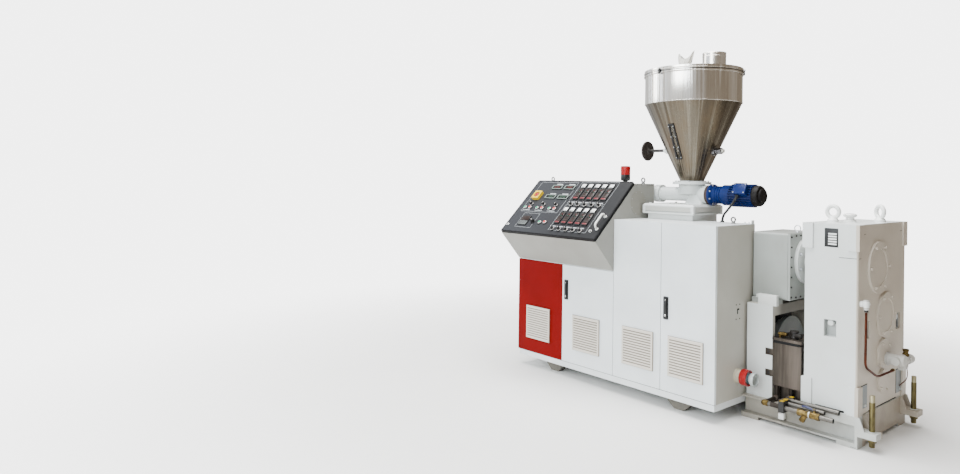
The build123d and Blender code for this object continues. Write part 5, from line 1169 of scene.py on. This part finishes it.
# The distribution gearbox's grey is darkened as painted shade, with dirt and worn edges.
shaded_grey = enamel("shaded_grey", swatch(152, 156, 153), swatch(140, 143, 138), dirt=0.2, wear=0.15)
portal_paint = Finish("portal_paint", Specular_IOR_Level=0.4, Coat_Weight=0.1)
# Painted shade: warm grey on every face behind the posts' front, dark brown between the posts.
behind = portal_paint.axis(1).over(-0.0520, 0.0008)
deep = portal_paint.axis(1).over(0.02, 0.05) * portal_paint.axis(1).under(0.42, 0.03)
portal_tone = clouded(portal_paint, swatch(200, 204, 203), swatch(192, 195, 193))
portal_tone = portal_paint.blend(portal_tone, swatch(176, 172, 162), behind)
portal_tone = portal_paint.blend(portal_tone, swatch(96, 90, 82), deep * 0.8)
dress(skin_of(portal_paint, portal_tone, 0.42, 0.0003, 0.002), "portal_frame")
dress(shaded_grey, "distribution_gearbox")
dress(machine_grey, "coupling_flange")
box_low, box_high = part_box("distribution_gearbox")
portal_low, portal_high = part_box("portal_frame")
plate_x, box_top = box_high.x, box_high.z
box_foot = box_top - 0.413
box_half = 0.195
bolt_half = box_half - 0.014
places = []
for step in range(7):
    z = box_foot + 0.022 + step * (box_top - box_foot - 0.044) / 6
    places += [(plate_x, screw_y - bolt_half, z), (plate_x, screw_y + bolt_half, z)]
for step in range(1, 6):
    y = screw_y - bolt_half + step * bolt_half / 3
    places += [(plate_x, y, box_top - 0.016), (plate_x, y, box_foot + 0.016)]
heads = disc(0.0062, 0.006, 0.001, 6), *(at(place, out_right) for place in places)
make("end_plate_bolts", dark_steel, [heads])
ring_centre = (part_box("coupling_flange")[0].x + 0.022, screw_y, ring_z)
heads = bolt(0.017), *ring_of(ring_centre, 0.119, 8, out_right, pi / 8)
make("ring_bolts", galvanised, [heads])
thin_eye = eye(0.019, 0.003), at((plate_x - 0.035, screw_y - 0.03, box_top))
make("box_eye", galvanised, [thin_eye])
foot_y = [screw_y + side * (box_half + 0.004) for side in (-1, 1)]
places = [at((box_low.x + setback, y, portal_high.z + 0.032)) for setback in (0.035, 0.130) for y in foot_y]
make("gearbox_foot_bolts", machine_grey, [(bolt(0.024), *places)])
foot_block = block(0.118, 0.030, 0.066, 0.002), at((0.700, portal_low.y + 0.0150, portal_high.z - 0.001))
make("foot_block", machine_grey, [foot_block])


# Tall gearbox
# A cast case in light grey enamel, painted beige on its right side as painted shade, with bolted
# bearing covers, corner pads, pockets with a lifting pin, parting seams and a black nameplate with
# blank rows. The pockets' hollows and a gap at the case's foot are painted darker as painted shade.
light_case = (swatch(211, 215, 214), swatch(204, 207, 204))
case_finish = enamel("case_finish", *light_case, shine=0.4, dirt=0.12, wear=0.15, grain=0.0005, edge=0.003)
case_paint = Finish("case_paint", Specular_IOR_Level=0.4, Coat_Roughness=0.15, Coat_Weight=0.12)
east, north, level = (case_paint.axis(number) for number in range(3))
# Painted shade: beige on the right side, darker in the hollows of the front and side pockets.
right_side_shade = east.over(1.2300, 0.0006) * level.under(1.2370, 0.0006)
pocket_level = level.over(0.595) * level.under(0.735)
inward = north.over(-0.0740, 0.012) * north.under(0.10)
front_pocket_shade = east.over(1.03) * east.under(1.15) * pocket_level * inward
side_pocket_shade = east.over(1.165) * east.under(1.2280, 0.004) * pocket_level * north.over(-0.0760)
case_tone = case_paint.blend(clouded(case_paint, *light_case), swatch(150, 154, 152), front_pocket_shade * 0.8)
case_tone = case_paint.blend(case_tone, swatch(112, 116, 116), side_pocket_shade * 0.8)
warm_cloud = case_paint.mottle(2.4, 6).over(0.5, 0.25)
right_side_shade_tone = case_paint.blend(swatch(198, 190, 177), swatch(186, 176, 162), warm_cloud)
skin_of(case_paint, case_paint.blend(case_tone, right_side_shade_tone, right_side_shade), 0.4, 0.0005, 0.003)
dress(case_paint.material, "reduction_gearbox", "gearbox_cover_discs")
case_low, case_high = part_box("reduction_gearbox")
pad_rise = 0.009
case_front, case_right = case_low.y + pad_rise, case_high.x - pad_rise


def on_front(x, z, out=0.0):
    return at((x, case_front - out, z), out_front)


def on_side(y, z, out=0.0):
    return at((case_right + out, y, z), out_right)


plate_black = plastic("plate_black", swatch(12, 12, 13), shine=0.5)
nameplate = block(0.075, 0.107, 0.0014, 0.0006), on_front(1.0945, 1.1585)
make("nameplate", plate_black, [nameplate])
rows = [on_front(1.1005, 1.180 - step * 0.0145, 0.0014) for step in range(5)]
make("nameplate_rows", meter_white, [(block(0.046, 0.0085, 0.0004), *rows)])
# Dark paint for joints and the terminal box, also used as painted shadow.
dark_paint_and_shade = enamel("dark_paint_and_shade", swatch(30, 29, 28), shine=0.6, coat=0.0, gloss=0.2)
seam_width, seam_rise = 0.0022, 0.0008
seams_and_shadow_gaps = [(block(0.095, seam_width, seam_rise), on_front(1.184, 1.050))]
for z, y, length in ((1.050, -0.066, 0.030), (1.184, -0.022, 0.056), (1.184, 0.540, 0.060)):
    seams_and_shadow_gaps.append((block(length, seam_width, seam_rise), on_side(y, z)))
# Two wider dark strips at the case's foot: painted shadow in the gap under the case.
seams_and_shadow_gaps.append((block(0.158, 0.0110, seam_rise), on_front(1.093, 0.1860)))
seams_and_shadow_gaps.append((block(0.400, 0.0060, seam_rise), on_side(0.265, 0.1800)))
make("case_seams_and_shadow_gaps", dark_paint_and_shade, seams_and_shadow_gaps)
case_foot, top_z, rear_y = 0.177, 1.238, -0.3995
case_height = top_z - case_foot
covers = (
    (0.580, 0.762, 0.141, 6, 0), (0.690, 0.493, 0.125, 6, 0),
    (0.660, 0.284, 0.082, 4, 0.6), (0.655, 0.133, 0.064, 4, 0.6),
)
heads = []
for setback, share, radius_share, count, start in covers:
    centre = (case_right + 0.014, rear_y + setback, case_foot + share * case_height)
    heads += [(bolt(0.0125), *ring_of(centre, 0.87 * radius_share * case_height, count, out_right, start))]
make("cover_bolts", case_paint.material, heads)
pins = [on_front(1.0915, 0.672, -0.040), *(on_side(y, 0.664, -0.040) for y in (0.0375, 0.4905))]
make("pocket_pins", case_finish, [(disc(0.017, 0.034, 0.003, 32), *pins)])
# Flat plates paint the low pockets' hollows as painted shade, dark lines at top and left as painted shadow.
pockets, edges, pocket_bolts = [], [], []
for y, width, foot, top in ((0.005, 0.081, 0.207, 0.339), (0.525, 0.127, 0.204, 0.349)):
    middle_z = (foot + top) / 2
    pockets.append((block(width, top - foot, 0.0006), on_side(y, middle_z)))
    edges.append((block(width, 0.005, 0.0009), on_side(y, top - 0.0025)))
    edges.append((block(0.005, top - foot, 0.0009), on_side(y - width / 2 + 0.0025, middle_z)))
    pocket_bolts.append((bolt(0.013), on_side(y, foot + 0.018)))
pocket_shade_blue = enamel("pocket_shade_blue", swatch(128, 136, 140), swatch(112, 118, 120), coat=0.0)
make("corner_pocket_shades", pocket_shade_blue, pockets)
make("pocket_shadow_lines", dark_paint_and_shade, edges)
make("pocket_bolts", case_finish, pocket_bolts)


# Fittings on top of the tall gearbox
# Two cast eye bolts and a mushroom-shaped breather, painted white.
breather = [
    (0, 0), (0.035, 0), (0.035, 0.010), (0.024, 0.014), (0.022, 0.026), (0.030, 0.030), (0.037, 0.035),
    (0.037, 0.042), (0.031, 0.048), (0.014, 0.051), (0, 0.051),
]
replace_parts(make("top_fittings", white_plastic, [
    (eye(0.034, 0.0120), at((1.024, 0.0945, top_z)), at((1.177, 0.3755, top_z), turn=2.55)),
    (turned(breather, 48), at((1.077, 0.2005, top_z))),
]), "gearbox_top_fittings")


# Oil pump, elbow and copper pipe
# A cast pump with a brass cap and a valve body on the third bearing cover, and a bent copper pipe
# from it up to a white screwed elbow. A thin capillary runs from the valve body to the case.
pump_grey = enamel(
    "pump_grey", swatch(192, 191, 186), swatch(178, 175, 168), shine=0.4, dirt=0.2, wear=0.3,
    grain=0.0005, edge=0.003,
)
copper = Finish("copper", Metallic=0.9, Roughness=0.4)
tarnish = copper.mottle(30, 5).over(0.5, 0.25)
copper.feed(Base_Color=copper.blend(swatch(92, 46, 32), swatch(66, 33, 24), tarnish))
copper.relief(copper.mottle(300, 3), 0.0002)
brass = Finish("brass", Metallic=1.0, Roughness=0.34)
tarnish = brass.mottle(50, 5).over(0.5, 0.25)
brass.feed(Base_Color=brass.blend(swatch(126, 106, 62), swatch(58, 46, 26), tarnish))
brass.relief(brass.mottle(400, 3), 0.0003, 0.0008)
dress(pump_grey, "oil_pump")
dress(copper.material, "oil_pipe")
pipe_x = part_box("oil_pipe")[0].x + 0.006
elbow_y, elbow_z = -0.0545, 0.800
elbow_place = (pipe_x, elbow_y, elbow_z)
inlet = [(0, 0), (0.017, 0), (0.017, 0.012), (0.013, 0.014), (0.013, 0.030), (0, 0.030)]
body = [
    (0, -0.030), (0.012, -0.030), (0.012, -0.018), (0.016, -0.016), (0.016, 0.016), (0.012, 0.020), (0, 0.020),
]
make("pipe_elbow_body", white_plastic, [
    (turned(inlet, 24), on_side(elbow_y, elbow_z, 0.0005)),
    (turned(body, 24), at(elbow_place)),
    (disc(0.012, 0.030, 0.002, 6), at(elbow_place, out_back)),
])
nut = disc(0.0115, 0.014, 0.002, 6), at((pipe_x, elbow_y, elbow_z - 0.042))
make("pipe_nut", dark_steel, [nut])
run = [
    (pipe_x, elbow_y, elbow_z - 0.045), (pipe_x, -0.0600, 0.455), (pipe_x, 0.1080, 0.372),
    (1.300, 0.2500, 0.391),
]
copper_run = tube(rounded(run, 0.035), 0.0065, 16)
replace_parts(make("copper_pipe", copper.material, [(copper_run,)]), "oil_pipe")
valve_x, pump_y, pump_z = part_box("oil_pump")[1].x - 0.030, 0.2885, 0.446
valve_z = pump_z - 0.012
make("pump_valves", pump_grey, [
    (disc(0.021, 0.060, 0.003, 32), at((valve_x, pump_y + 0.056, valve_z), out_back)),
    (disc(0.027, 0.052, 0.004, 40), at((valve_x, pump_y + 0.110, valve_z), out_back)),
    (disc(0.016, 0.062, 0.003, 32), at((valve_x, pump_y + 0.082, pump_z - 0.050))),
    (block(0.034, 0.040, 0.050, 0.004), at((valve_x - 0.002, pump_y + 0.040, pump_z - 0.060))),
    (disc(0.012, 0.040, 0.002, 6), at((valve_x, pump_y + 0.090, pump_z + 0.010))),
])
heads = bolt(0.007), *ring_of((valve_x, pump_y + 0.162, valve_z), 0.019, 4, out_back, pi / 4)
make("pump_valve_bolts", galvanised, [heads])
cap = [
    (0, 0), (0.015, 0), (0.018, 0.004), (0.018, 0.016), (0.014, 0.019), (0.014, 0.028), (0.017, 0.031),
    (0.017, 0.042), (0, 0.044),
]
make("pump_cap", brass.material, [
    (turned(cap, 32), at((valve_x, pump_y + 0.090, pump_z + 0.012))),
    (disc(0.010, 0.020, 0.002, 6), at((1.296, 0.2440, 0.3905), (0.1, 1, 0.1))),
])
thin_run = [
    (1.290, 0.4450, 0.4340), (1.290, 0.4795, 0.4100), (1.290, 0.5050, 0.3300), (1.285, 0.5100, 0.2900),
    (1.240, 0.5200, 0.2400),
]
make("pump_capillary", copper.material, [(tube(rounded(thin_run, 0.020), 0.0028, 12),)])


# Oil tank
# Stainless sheet in dark brown tones, with a lighter upright band as painted sheen, a black strip in
# the slot under its lid as painted shade, two folded tabs screwed to the portal's post and pipe
# fittings on top.
tank_steel = Finish("tank_steel", Metallic=0.85)
warm_cloud = tank_steel.mottle(5, 5, (1, 1, 0.5)).over(0.5, 0.25)
tank_streaks = tank_steel.mottle(40, 5, (1, 1, 0.08))
# A lighter upright band, painted sheen, with lighter upright streaks.
painted_sheen = tank_steel.axis(0).over(0.845, 0.05) * tank_steel.axis(0).under(0.905, 0.03)
tank_tone = tank_steel.blend(swatch(72, 66, 60), swatch(46, 40, 34), warm_cloud)
bright = painted_sheen * 0.6 + tank_streaks.over(0.58, 0.14) * 0.25
tank_tone = tank_steel.blend(tank_tone, swatch(116, 106, 98), bright)
tank_steel.feed(Base_Color=tank_tone, Roughness=0.42 + 0.2 * (tank_streaks - 0.5))
tank_steel.relief(tank_steel.mottle(240, 4), 0.0003, 0.0015)
dress(tank_steel.material, "oil_tank")
tank_low, tank_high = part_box("oil_tank")
# A black strip in the slot under the lid: painted shade.
slot = block(0.160, 0.0008, 0.016), at((0.828, tank_low.y + 0.0002, 0.491))
make("tank_slot_shade", black_paint, [slot])
tab_heights = (0.428, 0.299)
tabs = block(0.050, 0.003, 0.040, 0.0008), *(at((0.719, -0.0563, z - 0.020)) for z in tab_heights)
make("tank_tabs", tank_steel.material, [tabs])
tab_screws = block(0.016, 0.020, 0.0006), *(at((0.714, -0.0578, z), out_front) for z in tab_heights)
make("tank_tab_screws", dark_steel, [tab_screws])
nipple_y, nipple_z = tank_low.y + 0.040, tank_high.z + 0.020
make("tank_nipple", brass.material, [
    (disc(0.011, 0.050, 0.002, 24), at((tank_low.x + 0.022, nipple_y, nipple_z), out_right)),
    (disc(0.015, 0.014, 0.002, 6), at((tank_low.x + 0.046, nipple_y, nipple_z), out_right)),
    (disc(0.009, 0.022, 0.001, 20), at((tank_low.x + 0.030, nipple_y, tank_high.z))),
])
head = [
    (0, 0), (0.024, 0), (0.026, 0.003), (0.026, 0.010), (0.021, 0.013), (0.021, 0.036), (0.026, 0.039),
    (0.026, 0.048), (0, 0.050),
]
spout_place = at((tank_high.x - 0.060, tank_low.y + 0.050, tank_high.z + 0.024), (1, -0.2, 0))
make("tank_filter_head", dark_steel, [
    (turned(head, 32), at((tank_high.x - 0.072, tank_low.y + 0.060, tank_high.z))),
    (disc(0.013, 0.040, 0.002, 24), spout_place),
])


# Main motor
# A cast motor in darker grey enamel: ribbed body, a bolted end flange, feet on the bed and a dark
# terminal box on top.
motor_grey = enamel("motor_grey", swatch(118, 122, 122), swatch(92, 94, 93), shine=0.42, dirt=0.3, coat=0.05)
dress(motor_grey, "main_motor")
motor_y, motor_z = 0.2555, 0.412
foot_places = [at((x, motor_y + side * 0.128, 0.200)) for x in (0.117, 0.437) for side in (-1, 1)]
make("motor_bolts", galvanised, [
    (bolt(0.018), *ring_of((0.657, motor_y, motor_z), 0.170, 8, out_left, pi / 8)),
    (bolt(0.020), *foot_places),
])
terminal_box = block(0.180, 0.170, 0.084, 0.008), at((0.578, motor_y, 0.560))
make("motor_terminal_box", dark_paint_and_shade, [terminal_box])


# Cooling water pipes, their clamp and the valve
# Galvanised pipes in front, brown iron where they turn back under the tank, in a black clamp with
# yellow inserts. A brass strainer and a ball valve with a blue lever sit in the front one.
pipe_finish = Finish("pipe_finish")
east, north = pipe_finish.axis(0), pipe_finish.axis(1)
clamp_part = east.over(0.8546, 0.0002) * east.under(0.8874, 0.0002)
iron_part = east.under(0.7735) * north.over(-0.1730) + east.over(0.80) * east.under(0.8546, 0.0002)
silver = pipe_finish.blend(swatch(112, 109, 104), swatch(80, 77, 72), pipe_finish.mottle(40, 4, (0.3, 1, 1)))
iron = pipe_finish.blend(swatch(50, 42, 35), swatch(32, 27, 22), pipe_finish.mottle(50, 4))
pipe_tone = pipe_finish.blend(silver, iron, iron_part)
pipe_finish.feed(Base_Color=pipe_finish.blend(pipe_tone, swatch(9, 8, 7), clamp_part))
pipe_finish.feed(Metallic=0.9 - 0.9 * clamp_part - 0.3 * iron_part)
pipe_finish.feed(Roughness=0.30 + 0.22 * iron_part + 0.15 * clamp_part)
pipe_finish.relief(pipe_finish.mottle(300, 3), 0.0002, 0.001)
dress(pipe_finish.material, "water_pipes")
dress(brass.material, "water_valve")
front_y, front_z = -0.1875, 0.152
second_y, second_z = -0.1495, 0.169
bend_x, second_bend_x = 0.759, 0.847
band_yellow = plastic("band_yellow", swatch(170, 138, 6), shine=0.45)
places = [at((0.871, y, 0.189)) for y in (-0.192, -0.152, -0.113, -0.075)]
make("clamp_inserts", band_yellow, [(block(0.022, 0.026, 0.0025, 0.001), *places)])
pipe_ends = ((1.1582, front_y, front_z), (1.0927, second_y, second_z), (1.1582, -0.1155, 0.181))
# Black discs in the open pipe ends: painted shade inside the pipes.
mouth_shades = disc(0.0112, 0.0006, 0.0, 28), *(at(place, out_right) for place in pipe_ends)
make("pipe_mouth_shades", black_paint, [mouth_shades])
knuckle = [
    (0, -0.0185), (0.0110, -0.0150), (0.0170, -0.0080), (0.0185, 0), (0.0170, 0.0080), (0.0110, 0.0150),
    (0, 0.0185),
]
bend = (bend_x, front_y, front_z)
make("pipe_elbow_brass", brass.material, [
    (turned(knuckle, 28), at(bend)),
    (disc(0.0180, 0.026, 0.002, 28), at(bend, out_right)),
    (disc(0.0180, 0.024, 0.002, 28), at(bend, out_back)),
])
bend = (second_bend_x, second_y, second_z)
rear_y = -0.0465
iron_brown = rubber("iron_brown", swatch(66, 55, 46), 0.5)
make("pipe_elbow_iron", iron_brown, [
    (turned(knuckle, 28), at(bend)),
    (disc(0.0185, 0.026, 0.002, 28), at(bend, out_back)),
    (disc(0.0180, 0.024, 0.002, 28), at((bend_x, rear_y, front_z), out_front)),
    (disc(0.0180, 0.024, 0.002, 28), at((second_bend_x, rear_y, second_z), out_front)),
])
leg = Vector((-1, 0, -2)).normalized()
leg_place = at(Vector((1.006, front_y, front_z)) + 0.042 * leg, leg)
make("valve_nuts", brass.material, [
    (disc(0.0215, 0.016, 0.002, 6), *(at((x, front_y, front_z), out_right) for x in (0.962, 1.006, 1.064))),
    (disc(0.0175, 0.012, 0.002, 6), leg_place),
    (disc(0.0075, 0.010, 0.001, 6), at((1.0547, front_y, 0.182))),
])
bright_steel = Finish("bright_steel", Metallic=1.0, Base_Color=swatch(196, 194, 190))
bright_steel.feed(Roughness=0.22 + 0.2 * bright_steel.mottle(120, 4))
bright_steel.relief(bright_steel.mottle(400, 3), 0.0001, 0.0008)
union = turned([(0.0172, 0), (0.0195, 0.001), (0.0195, 0.010), (0.0172, 0.011)], 32)
make("valve_union", bright_steel.material, [(union, at((1.0235, front_y, front_z), out_right))])
grip_line = [(x, front_y, z) for x, z in ((1.040, 0.1855), (1.026, 0.190), (1.006, 0.192), (0.986, 0.190))]
lever_blue = plastic("lever_blue", swatch(8, 20, 72), shine=0.35, coat=0.2)
make("valve_lever", lever_blue, [
    (block(0.022, 0.015, 0.0025, 0.0008), at((1.050, front_y, 0.184))),
    (tube(rounded(grip_line, 0.006), 0.0062, 16),),
])


# Machine bed
# Welded channel bed in light grey enamel, painted a darker brownish grey on its front towards the
# cabinets and warm grey on its right end as painted shade, with a white sensor box on its web and
# three small holes in the pad's edge, painted black as painted shade.
bed_paint = Finish("bed_paint", Specular_IOR_Level=0.35)
east, north = bed_paint.axis(0), bed_paint.axis(1)
# Painted shade: darker brownish grey on the front towards the cabinets, warm grey on the right end.
unshaded_share = east.over(1.02, 0.28)
unshaded_share = unshaded_share + (1.0 - unshaded_share) * north.over(0.04, 0.06) * 0.8
bed_end_shade = east.over(1.2460, 0.0008) * north.over(-0.0300, 0.004)
bed_tone = bed_paint.blend(swatch(142, 137, 127), swatch(186, 188, 184), unshaded_share)
bed_tone = bed_paint.blend(bed_tone, swatch(162, 152, 138), bed_end_shade)
bed_tone = bed_paint.blend(bed_tone, swatch(104, 98, 88), bed_paint.mottle(9, 6).over(0.56, 0.2) * 0.3)
dress(skin_of(bed_paint, bed_tone, 0.46, 0.0003, 0.002), "bed")
sensor_box = block(0.034, 0.034, 0.036, 0.003), at((0.809, -0.0675, 0.041))
make("bed_sensor", white_plastic, [sensor_box])
# Black discs in the pad's three holes: painted shade.
places = [at((x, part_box("bed")[0].y, 0.008), out_front) for x in (1.216, 1.226, 1.237)]
make("pad_hole_shades", black_paint, [(disc(0.0026, 0.0006, 0.0, 16), *places)])


# Jacking screws
# Yellow-passivated studs through the bed's lugs, turned thinner and bright at the top, with a nut
# under each lug and a painted seat on it.
bed_grey = enamel("bed_grey", swatch(190, 192, 187), swatch(178, 178, 172), shine=0.45, dirt=0.25, wear=0.15)
stud_brass = Finish("stud_brass", Metallic=0.85, Roughness=0.38)
height = stud_brass.axis(2)
tarnish = stud_brass.mottle(60, 4, (1, 1, 0.3)).over(0.5, 0.25)
stud_tone = stud_brass.blend(swatch(112, 102, 66), swatch(78, 70, 44), tarnish)
stud_brass.feed(Base_Color=stud_brass.blend(stud_tone, swatch(176, 168, 138), height.over(0.270, 0.004) * 0.8))
threading = stud_brass.node("ShaderNodeMath", {"operation": "SINE"}, {0: height * 2400})
stud_brass.relief(threading * 0.5 + stud_brass.mottle(400, 3) * 0.5, 0.0004, 0.0008)
stud = [
    (0, 0.024), (0.0135, 0.024), (0.0150, 0.028), (0.0150, 0.268), (0.0136, 0.271), (0.0136, 0.304),
    (0.0120, 0.307), (0, 0.307),
]
nut = [(0.0150, 0.052), (0.0215, 0.052), (0.0240, 0.056), (0.0240, 0.069), (0.0215, 0.073), (0.0150, 0.073)]
seat = [(0.0152, 0.107), (0.0205, 0.107), (0.0205, 0.1095), (0.0152, 0.1105)]
stud_places = [at((1.307, y, 0.0)) for y in (-0.0575, 0.5585)]
studs = [(turned(stud, 40), *stud_places), (turned(nut, 6), *stud_places)]
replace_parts(make("jacking_studs", stud_brass.material, studs), "jacking_screws")
make("stud_seats", bed_grey, [(turned(seat, 40), *stud_places)])


# Floor and light
# A pale floor that fades into the white backdrop, a wide soft lamp before the machine, one at its left,
# a big one overhead, and a room round them that is bright at the left and dim and warm at the right.
def lamp(name, place, target, size, power, colour):
    data = bpy.data.lights.new(name, "AREA")
    data.shape = "RECTANGLE"
    data.size, data.size_y = size
    data.energy = power
    data.color = colour
    lit = bpy.data.objects.new(name, data)
    lit.location = place
    lit.rotation_euler = (Vector(target) - Vector(place)).to_track_quat("-Z", "Y").to_euler()
    scene.collection.objects.link(lit)


reach = 60
floor_mesh = bpy.data.meshes.new("floor")
floor_corners = [(-reach, -reach, 0), (reach, -reach, 0), (reach, reach, 0), (-reach, reach, 0)]
floor_mesh.from_pydata(floor_corners, [], [(0, 1, 2, 3)])
floor = bpy.data.objects.new("floor", floor_mesh)
scene.collection.objects.link(floor)
floor_finish = Finish("floor_finish", Roughness=0.7, Specular_IOR_Level=0.2)
away = floor_finish.vector("LENGTH", floor_finish.place(), output="Value")
settings = {"interpolation_type": "SMOOTHSTEP"}
distant = floor_finish.node("ShaderNodeMapRange", settings, {0: away, 1: 1.3, 2: 5.5})
floor_tone = floor_finish.blend(swatch(232, 231, 229), swatch(225, 224, 221), floor_finish.mottle(1.5, 5))
floor_finish.feed(Base_Color=floor_tone, Alpha=1.0 - distant)
floor_mesh.materials.append(floor_finish.material)
lamp("front_lamp", (0.5, -6.2, 3.0), (0.3, 0, 0.8), (3.6, 2.6), 430, (0.90, 0.97, 1.0))
lamp("top_lamp", (-0.4, -0.6, 5.6), (0.0, 0, 1.0), (4.5, 3.5), 900, (1.0, 1.0, 1.0))
lamp("left_lamp", (-5.6, -2.6, 2.6), (-0.3, 0, 1.4), (1.6, 3.6), 260, (0.94, 0.98, 1.0))
world = bpy.data.worlds.new("world")
world.use_nodes = True
sky = world.node_tree
way = sky.nodes.new("ShaderNodeTexCoord")
side = sky.nodes.new("ShaderNodeVectorMath")
side.operation = "DOT_PRODUCT"
side.inputs[1].default_value = (-0.80, -0.60, 0.0)
share = sky.nodes.new("ShaderNodeMapRange")
share.interpolation_type = "SMOOTHSTEP"
share.inputs["From Min"].default_value = -0.55
share.inputs["From Max"].default_value = 0.95
room = sky.nodes.new("ShaderNodeMix")
room.data_type = "RGBA"
room.inputs[6].default_value = (0.36, 0.31, 0.25, 1.0)
room.inputs[7].default_value = (1.20, 1.25, 1.30, 1.0)
ray = sky.nodes.new("ShaderNodeLightPath")
seen = sky.nodes.new("ShaderNodeMix")
seen.data_type = "RGBA"
seen.inputs[7].default_value = (5.0, 5.0, 5.0, 1.0)
sky.links.new(way.outputs["Generated"], side.inputs[0])
sky.links.new(side.outputs["Value"], share.inputs["Value"])
sky.links.new(share.outputs["Result"], room.inputs[0])
sky.links.new(room.outputs[2], seen.inputs[6])
sky.links.new(ray.outputs["Is Camera Ray"], seen.inputs[0])
sky.links.new(seen.outputs[2], sky.nodes["Background"].inputs["Color"])
scene.world = world
